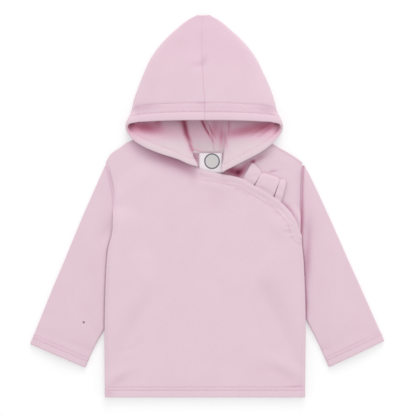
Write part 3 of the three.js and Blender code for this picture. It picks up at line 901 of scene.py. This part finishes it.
# ---------- The body ----------
LEFT_SIDE_X = curve_through(LEFT_SIDE, "y", "x")
RIGHT_SIDE_X = curve_through(RIGHT_SIDE, "y", "x")
WRAP_TOP_Y = curve_through(WRAP_TOP, "x", "y")
UNDER_TOP_Y = curve_through(UNDER_TOP, "x", "y")
TUCKED_RIGHT = curve_through(RIGHT_SLEEVE, "inner_y", "inner_x")
TUCKED_LEFT = curve_through(LEFT_SLEEVE, "inner_y", "inner_x")


def body_x(nominal: Array, y: Array) -> Array:
    """A nominal place across the body, moved to the real width at that level."""
    share = nominal / BODY_HALF
    return np.where(share < 0, -share * LEFT_SIDE_X(y), share * RIGHT_SIDE_X(y))


def lift_share(x: Array, y: Array) -> Array:
    """The share of the full lift that the body has where it lies over the sleeves.

    Args:
        x: places across.
        y: places along.

    Returns:
        The share at each place.
    """
    reach = np.where(x < 0, TUCKED_RIGHT(y), TUCKED_LEFT(y)) - 6
    near = np.clip((np.abs(x) - reach + TUCK_SLOPE) / TUCK_SLOPE, 0, 1)
    return near * near * (3 - 2 * near) * smooth(2, UNDERARM_Y + 11, y)


def back_middle(x: Array, y: Array) -> Array:
    """The height of the back's middle surface."""
    return FLOOR_MIDDLE + (SLEEVE_HEIGHT + SEAM_GAP) * lift_share(x, y)


def step_up(x: Array, y: Array) -> Array:
    """The height from one layer to the next."""
    share = lift_share(x, y)
    return LAYER_STEP + SLOPE_ROOM * 4 * share * (1 - share)


def under_middle(x: Array, y: Array) -> Array:
    """The height of the under front's middle surface."""
    return back_middle(x, y) + step_up(x, y)


def wrap_middle(x: Array, y: Array) -> Array:
    """The height of the wrap front's middle surface.

    Args:
        x: places across.
        y: places along.

    Returns:
        The height at each place.
    """
    on_under = step_up(x, y) * smooth(50, 16, y - UNDER_TOP_Y(x))
    rolled = EDGE_ROLL * smooth(16, 3, WRAP_TOP_Y(x) - y) * smooth(-14, -2, x)
    return under_middle(x, y) + on_under + rolled + fold_rise(WRAP_FOLDS, x, y)


@dataclass
class BodyPanel:
    """A panel of the body, from the hem up to a top edge."""

    name: str
    top: Table
    height: Callable[[Array, Array], Array]
    flat: tuple[float, float, float]
    rests_on: tuple[str, ...]
    creases: Table
    shades: Table
    step: float = 2.2
    swell: float = 0.18
    inset: float = 0.0
    droop: float = 0.0
    seed: int = 1
    neck_hem: bool = False

    def grid(self) -> Array:
        """The middle surface, row by row from the hem up.

        Returns:
            Its points.
        """
        nominal = ladder(2 * BODY_HALF, self.step) - BODY_HALF
        hem = np.concatenate([ladder(20, 1.0, end=False), 20 + ladder(
            UPPER_START_Y - HEM_Y - 20, self.step, start=False, end=False)[1:]]) + HEM_Y
        top_y = curve_through(self.top, "x", "y")(nominal)
        shares = ladder(150, self.step * 0.8, start=False) / 150
        upper = mix(UPPER_START_Y, top_y[None], shares[1:, None])
        y = np.concatenate([np.repeat(hem[:, None], len(nominal), 1), upper])
        x = body_x(nominal[None], y)
        z = self.height(x, y)
        from_side = BODY_HALF - np.abs(nominal)[None]
        turned = 1 - np.sqrt(np.clip(1 - (1 - np.clip(from_side / 6, 0, 1)) ** 2, 0, 1))
        z = z - self.droop * (0.4 + 0.6 * lift_share(x, y)) * turned
        x = x - np.sign(x) * self.inset * smooth(60, 0, from_side)
        return np.stack([x, y, z], 2)

    def make(self, material: Material, threads: "Stitching") -> Piece:
        """Makes the panel with its hem, seams and creases.

        Args:
            material: the fleece.
            threads: where its stitches go.

        Returns:
            The object.
        """
        cloth = Cloth(self.name, self.grid(), border=(1.3, 1.4, 2.2, 2.2))
        x, y = cloth.middle[..., 0], cloth.middle[..., 1]
        hem = y - HEM_Y
        flat = cloth.middle[..., :2]
        side = np.minimum(cloth.lengths(1), cloth.lengths(1, True))
        swell = uneven(flat, (60, 150), (20, 46), 14, self.seed)
        lift = self.swell * (1 + swell) * smooth(0, 30, hem) * smooth(0, 14, side)
        lift += fold_rise(self.creases, x, y)
        relief, depth = hem_marks(hem, flat[..., :1], self.seed + 2, 0.25, 0.1, (0.035, 0.4))
        # Painted shade in creases and cast shadows, as listed.
        depth += fold_rise(self.shades, x, y)
        relief += 0.1 * waves(flat[..., :1], (14, 40), 6, self.seed + 3) * smooth(12, 4, hem)
        relief -= 0.2 * bell(side - 4.6, 1.2)
        # Painted shade along the side seam and at the rounded side edges.
        depth += 0.02 * bell(side - 5.0, 1.4) + 0.05 * bell(side, 1.2)
        gap = None
        if self.neck_hem:
            gap, more_relief, more_painted_shade = self.curved_hem(flat)
            relief += more_relief
            depth += more_painted_shade
        else:
            top_gap = cloth.lengths(0, True)
            relief -= 0.4 * bell(top_gap - 3.4, GROOVE_WIDTH)
            # Painted shade in the top seam's groove.
            depth += 0.05 * bell(top_gap - 3.4, GROOVE_SHADE_WIDTH)
        cloth.dress(lift, relief)
        cloth.depth = depth
        piece = cloth.make(material)
        for at in HEM_STITCHES:
            threads.run(*cloth.line_at(-hem, -at), end=5)
        if gap is not None:
            points, square = cloth.line_at(np.where(y > -60, gap, 99), WRAP_STITCHES)
            keep = points[:, 0] > -6
            threads.run(points[keep], square[keep], end=4)
        return piece

    def curved_hem(self, flat: Array) -> tuple[Array, Array, Array]:
        """The hem along the wrap's curved edge, and the shade below the hood.

        Args:
            flat: the x and y of the panel's points.

        Returns:
            How far each point is from the edge, and what is added to relief and painted shade.
        """
        x = flat[..., 0]
        x_line = np.arange(-14, 138.5, 0.5)
        line = np.stack([body_x(x_line, WRAP_TOP_Y(x_line)), WRAP_TOP_Y(x_line)], 1)
        gap, along = near_line(flat, line)
        ripple = waves(along[..., None], (7, 17), 8, 77)
        drift = waves(along[..., None], (22, 50), 6, 78)
        shown = smooth(-16, -4, x)
        patchy = np.clip(0.6 + 0.7 * ripple, 0, 2)
        wander = gap - WRAP_STITCHES - 0.8 * drift
        relief = 0.4 * bell(gap - 3.4, 3.4) - 0.16 * (1 + drift) * bell(gap - 8.4, 1.8)
        relief -= 0.4 * patchy * bell(wander, 1.2)
        relief += 0.45 * ripple * bell(gap - WRAP_STITCHES - drift, 3.6)
        # Painted shade along the stitch groove.
        depth = shown * 0.03 * patchy * bell(wander, 1.1)
        # Painted shadow that the hood's flap casts on the chest.
        shadow_gap, _ = near_line(flat, FLAP_LINE)
        amount = np.interp(x, FLAP_SHADOW["x"], FLAP_SHADOW["amount"])
        depth += amount * bell(np.maximum(shadow_gap - 5, 0), 9.5)
        return gap, shown * relief, depth


# ---------- Sleeves ----------
@dataclass
class Sleeve:
    """A sleeve pressed flat, as a tube from the armhole to the cuff."""

    name: str
    rows: Table
    sign: int
    side_x: Curve
    creases: Table
    shades: Table
    flat: tuple[float, float, float]
    beside: float = 2.4
    # How dark the painted shadow line on the sleeve along the body's edge is.
    line: float = 0.1
    seed: int = 5

    def outline(self, share: Array, part: Array) -> Array:
        """A point of the flattened sleeve.

        Args:
            share: from 0 at the armhole to 1 at the cuff.
            part: from 0 at the outer edge to 1 at the inner.

        Returns:
            The x, measured outwards, and y.
        """
        start = {name: column[0] for name, column in self.rows.items()}
        at = {name: curve_through(self.rows, "share", name)(share) for name in self.rows}
        follow = smooth(0.3, 0, share)
        seam_y = mix(start["outer_y"], start["inner_y"], part)
        bow = np.abs(self.side_x(seam_y)) - mix(start["outer_x"], start["inner_x"], part)
        room = SEAM_GAP - (TUCKED_IN + SEAM_GAP) * smooth(0, 0.12, part)
        x = mix(at["outer_x"], at["inner_x"], part) + (bow + room) * follow
        return np.stack([x, mix(at["outer_y"], at["inner_y"], part)], -1)

    def outwards(self, share: Array, part: float, quarter: int) -> Array:
        """The direction square to the sleeve's outline at one of its edges.

        Args:
            share: from 0 at the armhole to 1 at the cuff.
            part: 0 for the outer edge or 1 for the inner.
            quarter: 1 or -1, which way to turn.

        Returns:
            A unit direction for each share.
        """
        part = np.full_like(share, part)
        ahead = self.outline(np.minimum(share + 0.01, 1), part)
        along = ahead - self.outline(np.maximum(share - 0.01, 0), part)
        along /= np.linalg.norm(along, axis=-1, keepdims=True)
        return np.stack([-along[..., 1], along[..., 0]], -1) * quarter

    def grid(self) -> Array:
        """The middle surface, ring by ring from the armhole.

        Returns:
            Its points.
        """
        shares = ladder(SLEEVE_LENGTH, 2.3) / SLEEVE_LENGTH
        share = shares[:, None]
        across = ladder(1, 1 / 42, start=False, end=False)
        turns = np.radians(np.arange(-75, 76, 15))
        flat_turn = np.full(len(across), math.pi / 2)
        part = np.concatenate([across, np.ones(len(turns)), across[::-1], np.zeros(len(turns)), [0]])
        turn = np.concatenate([-flat_turn, turns, flat_turn, turns[::-1], [-math.pi / 2]])[None]
        ring = self.outline(share, np.zeros_like(share)) - self.outline(share, np.ones_like(share))
        width = np.linalg.norm(ring, axis=-1)
        out = self.outwards(share, 0.0, 1)
        into = self.outwards(share, 1.0, -1)
        need = FLEECE / 2 + SLEEVE_FOLD
        outer_inset = need / (width * np.maximum(np.abs((out * ring).sum(-1)) / width, 0.5))
        inner_inset = need / (width * np.maximum(np.abs((into * ring).sum(-1)) / width, 0.5))
        spot = self.outline(share, mix(outer_inset, 1 - inner_inset, part[None]))
        direction = np.where(part[None, :, None] > 0.5, into, out)
        spot = spot + direction * (SLEEVE_FOLD * np.cos(turn))[..., None]
        clear = curve_through(self.rows, "share", "clear")(share)
        open_part = np.clip(part[None] / clear, 0, 1)
        z = FLOOR_MIDDLE + SLEEVE_FOLD * (1 + np.sin(turn))
        over = np.sin(turn) > 0.999
        z = z + SLEEVE_PUFF * np.sin(np.pi * open_part) * smooth(0.02, 0.16, share) * over
        z = z + 1.6 * smooth(0.14, 0.01, share) * smooth(0, 0.08, part) * smooth(1, 0.92, part) * over
        points = np.stack([self.sign * spot[..., 0], spot[..., 1], z], 2)
        return points[:, ::-1] if self.sign > 0 else points

    def make(self, material: Material, threads: "Stitching") -> Piece:
        """Makes the sleeve with its hem and creases.

        Args:
            material: the fleece.
            threads: where its stitches go.

        Returns:
            The object.
        """
        cloth = Cloth(self.name, self.grid(), tube=True, border=(2.2, 1.3, 0, 0))
        x, y, z = np.moveaxis(cloth.middle, 2, 0)
        above = smooth(-0.1, 0.6, cloth.normals(cloth.middle)[..., 2])
        below = smooth(-0.1, 0.6, -cloth.normals(cloth.middle)[..., 2])
        hem = cloth.lengths(0, True)
        flat = cloth.middle[..., :2]
        outside = np.where(x < 0, LEFT_SIDE_X(y) - x, x - RIGHT_SIDE_X(y))
        clear = smooth(-6, 8, outside)
        swell = uneven(flat, (44, 110), (16, 36), 12, self.seed)
        folds = fold_rise(self.creases, np.abs(x), y)
        lift = above * clear * (0.22 * swell * smooth(2, 26, hem) + folds)
        by_body = smooth(-0.5, 3.2, outside) * smooth(24, 3, outside) * smooth(-34, -60, y)
        lift += above * self.beside * by_body
        lift += below * fold_rise(SLEEVE_UNDER_CREASES, np.abs(x), y)
        relief, depth = hem_marks(hem, flat[..., :1], self.seed + 2, 0.35, 0.12, (0.04, 0.5))
        relief -= 0.25 * bell(cloth.lengths(0) - 6.0, 1.2)
        # Painted shade: in creases, a painted shadow line along the body's edge, a faint darkening of the
        # upper side, and at the cuff's edge.
        shades = fold_rise(self.shades, np.abs(x), y)
        depth += above * (shades + self.line * bell(outside, 1.9) + 0.012)
        depth += 0.05 * bell(hem, 1.2)
        cloth.dress(lift, relief)
        cloth.depth = depth
        piece = cloth.make(material)
        for at in HEM_STITCHES:
            threads.run(*cloth.line_at(hem, at), end=2)
        return piece


# ---------- Hood ----------
@dataclass
class HoodHalf:
    """A half of the hood: from the nape, round the side fold and over the crown to the middle."""

    name: str
    sign: int
    ends: Table
    corner_x: float
    flat: tuple[float, float, float]
    seed: int = 9

    centre: Curve = field(default=curve_through(HOOD_SECTIONS, "y", "middle"))
    half: Curve = field(default=curve_through(HOOD_SECTIONS, "y", "half"))
    crown: Curve = field(default=curve_through(HOOD_SECTIONS, "y", "crown"))
    fold: Curve = field(default=curve_through(HOOD_SECTIONS, "y", "fold"))
    seam_x: Curve = field(default=curve_through(CROWN_SEAM, "y", "x"))

    def side_x(self, y: Array) -> Array:
        """Where the side of the section lies, inside the thickness of the cloth."""
        return self.centre(y) + self.sign * (self.half(y) - FLEECE / 2)

    def place(self, across: Array, y: Array, z: Array) -> Array:
        """A point a share of the way from the middle seam to the side."""
        seam = self.seam_x(y) - self.sign * SEWN_OVER
        return np.stack([mix(seam, self.side_x(y), across), y, z + 0 * y], -1)

    def lower_column(self, across: float, x: float, y: float, z: float) -> Array:
        """A column of the lower layer, fanned out to its end below the form level.

        Args:
            across: the share of the way from the middle seam to the side.
            x: where it ends across.
            y: where it ends along.
            z: how high it ends.

        Returns:
            The column's points.
        """
        top = self.place(across, HOOD_LEVELS, FLOOR_MIDDLE)
        level = mix(HOOD_FORM_Y, y, HOOD_END_SHARES)
        start = self.place(across, np.maximum(level, BRIM_MIDDLE_Y), FLOOR_MIDDLE)
        drawn = mix(start[:, 0], x, HOOD_END_SHARES**2.1)
        raised = mix(FLOOR_MIDDLE, z, smooth(0, 1, HOOD_END_SHARES))
        return np.concatenate([top, np.stack([drawn, level, raised], 1)])

    def fold_column(self, angle: float, outwards: float, y: float, z: float) -> Array:
        """A column on the side fold, which ends at the hood's corner.

        Args:
            angle: where it lies round the fold, in degrees.
            outwards: how far out of the corner it ends.
            y: where it ends along.
            z: how high it ends.

        Returns:
            The column's points.
        """
        turn = math.radians(angle)

        def spot(level: Array) -> Array:
            """A point on the fold."""
            radius = self.fold(level)
            x = self.side_x(level) - self.sign * radius * (1 - math.cos(turn))
            return np.stack([x, level, FLOOR_MIDDLE + radius * (1 + math.sin(turn))], -1)

        level = mix(HOOD_FORM_Y, y, HOOD_END_SHARES)
        start = spot(np.maximum(level, 100))
        drawn = smooth(0.6, 1, HOOD_END_SHARES)
        x = mix(start[:, 0], self.corner_x + self.sign * outwards, drawn)
        down = np.stack([x, level, mix(start[:, 2], z, drawn)], 1)
        return np.concatenate([spot(HOOD_LEVELS), down])

    def crown_column(self, across: float) -> Array:
        """A column of the crown, which ends at the brim.

        Args:
            across: the share of the way from the middle seam to the side.

        Returns:
            The column's points.
        """
        end_y = BRIM_MIDDLE_Y - 3.4 * across**3
        level = np.concatenate([HOOD_LEVELS, mix(HOOD_FORM_Y, end_y, HOOD_END_SHARES)])
        fold_top = FLOOR_MIDDLE + 2 * self.fold(level)
        arch = math.sqrt(1 - (across * 0.985) ** 2)
        inset = 1 - self.fold(level) / self.half(level)
        return self.place(across * inset, level, fold_top + (self.crown(level) - fold_top) * arch)

    def grid(self) -> tuple[Array, Array]:
        """The middle surface, from the tip down and from one seam round to the other.

        Returns:
            Its points, and which of the drawn columns each of its columns lies at.
        """
        columns = [self.lower_column(*row) for row in zip(*self.ends.values())]
        columns += [self.fold_column(*row) for row in zip(*CORNER_TURN.values())]
        columns += [self.crown_column(across) for across in CROWN_ACROSS]
        coarse = np.stack(columns, 1)
        knots = knots_of(coarse)
        rows = spline_rows(coarse, knots, ladder(knots[-1], 2.0))
        turned = rows.transpose(1, 0, 2)
        knots = knots_of(coarse[6:].transpose(1, 0, 2))
        at = ladder(knots[-1], 1.8)
        fine = spline_rows(turned, knots, at).transpose(1, 0, 2)
        column = np.interp(at, knots, np.arange(len(knots)))
        return (fine[:, ::-1], column[::-1]) if self.sign < 0 else (fine, column)

    def make(self, material: Material, threads: "Stitching") -> Piece:
        """Makes the half with its brim, seams and folds.

        Args:
            material: the fleece.
            threads: where its stitches go.

        Returns:
            The object.
        """
        middle, column = self.grid()
        seam_first = (1.0, 1.4) if self.sign < 0 else (1.4, 1.0)
        cloth = Cloth(self.name, middle, border=(1.4, 1.3, *seam_first))
        x, y, z = np.moveaxis(cloth.middle, 2, 0)
        edge = cloth.lengths(0, True)
        crown = smooth(12.5, 14, column)[None] * np.ones_like(x)
        lower = smooth(11, 9.5, column)[None] * np.ones_like(x)
        flap = smooth(3.6, 5, column)[None] * lower
        turned_in = smooth(13.5, 12, column)[None] * np.ones_like(x)
        flat = cloth.middle[..., :2]
        swell = 0.4 * waves(flat, (60, 130), 12, self.seed) + 0.1 * waves(flat, (18, 42), 10, 4)
        lift = crown * (swell * smooth(0, 22, edge) + fold_rise(HOOD_CREASES, x, y))
        lift -= lower * fold_rise(FLAP_CREASES, x, y)
        pucker = waves(cloth.lengths(1)[..., None], (6, 15), 8, self.seed + 2)
        free = smooth(3.6, 4.6, column)[None] * np.ones_like(x)
        relief = 0.2 * smooth(*BRIM_STEP, edge) + 0.16 * pucker * bell(edge - 17, 5)
        relief += 0.55 * bell(edge - 5.5, 4.2) - 0.2 * bell(edge - 15, 2.2)
        # Painted shade on the crown, in its creases and darker towards the tip, where the lamps light the
        # crown's slope more.
        tip_shade = 0.012 + 0.035 * smooth(150, 235, y)
        depth = crown * (fold_rise(HOOD_PAINTED_SHADE, x, y) + tip_shade)
        # Painted shade in the brim's stitch grooves.
        for at, groove_shade in zip(BRIM_STITCHES, BRIM_GROOVE_SHADES):
            relief -= 0.5 * bell(edge - at, 0.9)
            depth += free * groove_shade * (1 + 0.3 * pucker) * bell(edge - at, GROOVE_SHADE_WIDTH)
        # Painted shade between the brim's two stitch lines.
        depth += crown * 0.02 * smooth(12, 13, edge) * smooth(25, 24, edge)
        seam = cloth.lengths(1) if self.sign < 0 else cloth.lengths(1, True)
        relief = free * relief - 0.2 * bell(seam - 4.0, 1.0)
        # Painted shade along the middle seam.
        depth += crown * (0.03 + 0.05 * smooth(206, 196, y)) * bell(seam - SEWN_OVER, 0.8)
        lining = relief + lower * (0.8 * bell(seam - 1.0, 2.2) - 0.5 * bell(seam - 5.0, 1.0))
        cloth.dress(lift, relief, lining)
        cloth.depth = depth
        # Painted shade inside the hood: deeper towards and under the brim, as listed, in the stitch groove,
        # and over the crown's hidden inside.
        under_brim_shade = 0.1 * smooth(84, 104, y) + 0.35 * smooth(121, 132, y)
        stitch_shade = 0.04 * free * bell(edge - BRIM_STITCHES[0], GROOVE_SHADE_WIDTH)
        cloth.lining_painted_shade = turned_in * (fold_rise(INSIDE_PAINTED_SHADE, x, y) + under_brim_shade + stitch_shade)
        cloth.lining_painted_shade += (1 - turned_in) * 0.6 * smooth(4, 12, edge)
        piece = cloth.make(material)
        brim = np.where(crown > 0.5, edge, 999)
        for at in BRIM_STITCHES:
            threads.run(*cloth.line_at(brim, at), end=3)
        hem = np.where(flap > 0.5, edge, 999)
        threads.run(*cloth.line_at(hem, BRIM_STITCHES[0], lining=True), end=3)
        return piece


# ---------- Ruffle tabs ----------
@dataclass
class RuffleTab:
    """A strip folded back on itself: out from the wrap's edge, round its tip and back."""

    name: str
    base_x: float
    tip: tuple[float, float]
    far_x: float
    far_tip: tuple[float, float]
    flat: tuple[float, float]
    tucked: float = 2.4
    puff: float = 0.8
    seed: int = 30

    def edge(self, x: float) -> Array:
        """A point just under the wrap's edge.

        Args:
            x: the place across.

        Returns:
            The point's x and y.
        """
        nominal = x * BODY_HALF / RIGHT_SIDE_X(np.array(0.0))
        return np.array([x, float(WRAP_TOP_Y(nominal)) - self.tucked])

    def make(self, material: Material) -> Piece:
        """Makes the tab.

        Args:
            material: the fleece.

        Returns:
            The object.
        """
        layers = RUFFLE_THICK + SEAM_GAP + 0.5
        low = float(under_middle(np.array(0.0), np.array(0.0))) + FLEECE / 2 + RUFFLE_THICK / 3
        across = (ladder(24, 0.7) / 24)[None, :, None]
        coarse = np.stack([RUFFLE_PATH["out"], RUFFLE_PATH["z"], 0 * RUFFLE_PATH["z"]], 1)[:, None]
        knots = knots_of(coarse * np.array([24, 2.3, 1]))
        path = spline_rows(coarse, knots, ladder(knots[-1], 0.5))[::-1]
        out, z = path[..., 0][..., None], path[..., 1]
        rounded = 1 - 0.09 * np.abs(2 * across - 1) ** 4
        start = mix(self.edge(self.base_x), self.edge(self.far_x), across)
        end = mix(np.array(self.tip), np.array(self.far_tip), across)
        spot = mix(start, end, out * rounded)
        height = low + z * layers + 0 * across[..., 0]
        cloth = Cloth(self.name, np.concatenate([spot, height[..., None]], 2), RUFFLE_THICK,
                      border=(0.8, 0.8, 1.0, 1.0))
        upper = smooth(0.9, 1.3, z) * smooth(0, 0.25, out[..., 0])
        arch = np.sin(math.pi * across[..., 0]) ** 0.8
        lift = self.puff * upper * arch + 0.25 * upper * waves(spot, (9, 20), 8, self.seed)
        cloth.dress(lift)
        edge = np.minimum(cloth.lengths(1), cloth.lengths(1, True))
        foot = smooth(0.35, 0.12, out[..., 0])
        # Painted shade at the tab's foot, in the slits between the tabs.
        cloth.depth = 0.14 * foot * bell(edge, 2.2)
        piece = cloth.make(material)
        return piece


# ---------- Label ----------
@dataclass
class NeckLabel:
    """The satin label sewn inside the back of the neck."""

    name: str = "neck_label_satin"
    box: tuple[float, float, float, float] = LABEL_BOX

    def make(self, material: Material) -> Piece:
        """Makes the label.

        Args:
            material: the satin.

        Returns:
            The object.
        """
        left, bottom, right, top = self.box
        low = FLOOR_MIDDLE + FLEECE / 2 + SEAM_GAP + LABEL_THICK / 2
        x = left + ladder(right - left, 1.2)
        y = bottom + ladder(top - bottom, 1.2)
        gx, gy = np.meshgrid(x, y)
        gz = low + 0.25 * (1 + waves(np.stack([gx, gy], 2), (14, 30), 6, 3))
        cloth = Cloth(self.name, np.stack([gx, gy, gz], 2), LABEL_THICK, border=(0.4, 0.4, 0.4, 0.4))
        cloth.dress()
        piece = cloth.make(material)
        return piece


# ---------- Stitching ----------
@dataclass
class Stitching:
    """All the stitches of the garment, as short rounded lengths of thread."""

    name: str = "stitching"
    pitch: float = 3.2
    length: float = 2.3
    width: float = 0.55
    runs: list = field(default_factory=list)

    def run(self, points: Array, square: Array, end: float = 0.0) -> None:
        """Adds a line of stitches.

        Args:
            points: the line on the cloth.
            square: the directions square to the cloth.
            end: how far the line stops short at each end.
        """
        if len(points) < 3:
            return
        gaps = np.linalg.norm(np.diff(points, axis=0), axis=1)
        breaks = np.nonzero(gaps > 25)[0]
        if len(breaks):
            cut = breaks[0] + 1
            self.run(points[:cut], square[:cut], end)
            self.run(points[cut:], square[cut:], end)
            return
        reached = np.concatenate([[0], np.cumsum(gaps)])
        starts = np.arange(end + self.pitch / 2, reached[-1] - end, self.pitch)
        if not len(starts):
            return
        ahead, behind = (between_rows(starts + off, reached, points) for off in (0.8, -0.8))
        place = between_rows(starts, reached, points)
        self.runs.append((place, ahead - behind, between_rows(starts, reached, square)))

    def make(self, material: Material) -> Piece:
        """Makes all the stitches as one mesh.

        Args:
            material: the thread.

        Returns:
            The object.
        """
        bm = bmesh.new()
        half = self.width / 2 * MM
        size = Matrix.Diagonal((self.length / 2 * MM, half, half, 1))
        for places, headings, squares in self.runs:
            places[:, 2] = np.maximum(places[:, 2], self.width / 2)
            for place, heading, square in zip(places, headings, squares):
                ahead = Vector(heading).normalized()
                up = Vector(square).normalized()
                side = up.cross(ahead).normalized()
                up = ahead.cross(side)
                turn = Matrix((ahead, side, up)).transposed().to_4x4()
                spot = Matrix.Translation((Vector(place) + up * 0.08) * MM)
                bmesh.ops.create_uvsphere(
                    bm, u_segments=6, v_segments=4, radius=1, matrix=spot @ turn @ size
                )
        return finish_mesh(self.name, bm, material)


# ---------- Studio ----------
@dataclass
class Studio:
    """The floor, the light and the camera straight above."""

    centre: tuple[float, float] = (4.2, -2.8)
    view_width: float = 582.4
    height: float = 3.0
    lens: float = 180.0
    sky: float = 0.93
    lamps: tuple = (
        ("key", (0.9, 4.0, 5.6), 4.0, 60.0),
        ("low", (0.5, 5.2, 2.6), 2.2, 100.0),
    )

    def camera(self) -> None:
        """Sets the camera, looking straight down with the hood at the top."""
        data = bpy.data.cameras.new("camera")
        data.lens = self.lens
        data.sensor_width = self.lens * self.view_width * MM / self.height
        data.clip_end = 20
        eye = bpy.data.objects.new("camera", data)
        eye.location = (self.centre[0] * MM, self.centre[1] * MM, self.height)
        bpy.context.scene.collection.objects.link(eye)
        bpy.context.scene.camera = eye

    def floor(self, material: Material) -> None:
        """Lays the floor, a hair below the cloth.

        Args:
            material: the floor's material.
        """
        bm = bmesh.new()
        bmesh.ops.create_grid(bm, x_segments=1, y_segments=1, size=4)
        ground = finish_mesh("floor", bm, material, False)
        ground.data.transform(Matrix.Translation((0, 0, -0.0004)))

    def lights(self) -> None:
        """Sets a bright even sky and two wide soft lights beyond the hood."""
        scene = bpy.context.scene
        world = bpy.data.worlds.new("sky")
        world.use_nodes = True
        sky = world.node_tree.nodes["Background"]
        sky.inputs["Color"].default_value = (1, 1, 1, 1)
        sky.inputs["Strength"].default_value = self.sky
        scene.world = world
        scene.view_settings.view_transform = "Standard"
        for name, place, size, power in self.lamps:
            data = bpy.data.lights.new(name, "AREA")
            data.size = size
            data.energy = power
            lamp = bpy.data.objects.new(name, data)
            lamp.location = place
            lamp.rotation_euler = (-Vector(place)).to_track_quat("-Z", "Y").to_euler()
            scene.collection.objects.link(lamp)


# ---------- The garment ----------
def build() -> None:
    """Builds every piece in order and reports it."""
    studio = Studio()
    studio.camera()
    studio.floor(FloorFinish().make())
    studio.lights()

    fleece = FleeceFinish().make()
    specked = FleeceFinish(name="pink_fleece_specked", speck=(-0.1694, -0.1624, 0.006)).make()
    satin = SatinFinish().make()
    threads = Stitching()

    panels = (
        (BodyPanel("body_back", BACK_TOP, back_middle, (0.30, 0.39, 0.105), (), BACK_CREASES,
                   BACK_PAINTED_SHADE, step=3.0, swell=0.0, inset=2.0, seed=11), "back"),
        (BodyPanel("under_front", UNDER_TOP, under_middle, (0.30, 0.38, 0.092), ("body_back",),
                   UNDER_CREASES, UNDER_PAINTED_SHADE, swell=0.1, inset=1.3, droop=1.4, seed=21), "front_under"),
        (BodyPanel("wrap_front", WRAP_TOP, wrap_middle, (0.30, 0.38, 0.092), ("under_front",),
                   WRAP_CREASES, WRAP_PAINTED_SHADE, step=2.0, droop=3.2, seed=31, neck_hem=True),
         "front_wrap"),
    )
    for panel, node in panels:
        enrol(panel.make(fleece, threads), Slot.FLEECE, node)

    sleeves = (
        (Sleeve("sleeve_wearer_right", RIGHT_SLEEVE, -1, LEFT_SIDE_X, RIGHT_SLEEVE_CREASES,
                RIGHT_SLEEVE_PAINTED_SHADE, (0.20, 0.27, 0.038), seed=41), specked, "sleeve_right"),
        (Sleeve("sleeve_wearer_left", LEFT_SLEEVE, 1, RIGHT_SIDE_X, LEFT_SLEEVE_CREASES,
                LEFT_SLEEVE_PAINTED_SHADE, (0.20, 0.27, 0.038), beside=1.2, line=0.26, seed=51), fleece,
         "sleeve_left"),
    )
    for sleeve, cloth, node in sleeves:
        enrol(sleeve.make(cloth, threads), Slot.FLEECE, node)

    halves = (
        (HoodHalf("hood_wearer_right", -1, RIGHT_HOOD_ENDS, -109.5, (0.23, 0.2, 0.036), seed=61),
         "hood_right"),
        (HoodHalf("hood_wearer_left", 1, LEFT_HOOD_ENDS, 107.5, (0.23, 0.2, 0.036), seed=71),
         "hood_left"),
    )
    for half, node in halves:
        enrol(half.make(fleece, threads), Slot.FLEECE, node)

    tabs = (
        RuffleTab("tab_upper", 51.4, (66.2, 61.8), 67.1, (79.4, 46.6), (0.017, 0.06)),
        RuffleTab("tab_middle", 68.2, (79.2, 46.9), 94.9, (105.3, 38.4), (0.027, 0.06), seed=33),
        RuffleTab("tab_lower", 96.0, (105.1, 37.6), 106.5, (113.6, 35.4), (0.011, 0.06), seed=36),
    )
    for tab in tabs:
        enrol(tab.make(fleece), Slot.FLEECE, tab.name.replace("tab", "ruffle"))

    enrol(NeckLabel().make(satin), Slot.LABEL, "neck_label")
    enrol(threads.make(ThreadFinish().make()), Slot.FLEECE)


def main() -> None:
    """Builds the garment."""
    logging.basicConfig(level=logging.INFO, format="%(name)s: %(message)s")
    build()


if __name__ == "__main__":
    main()
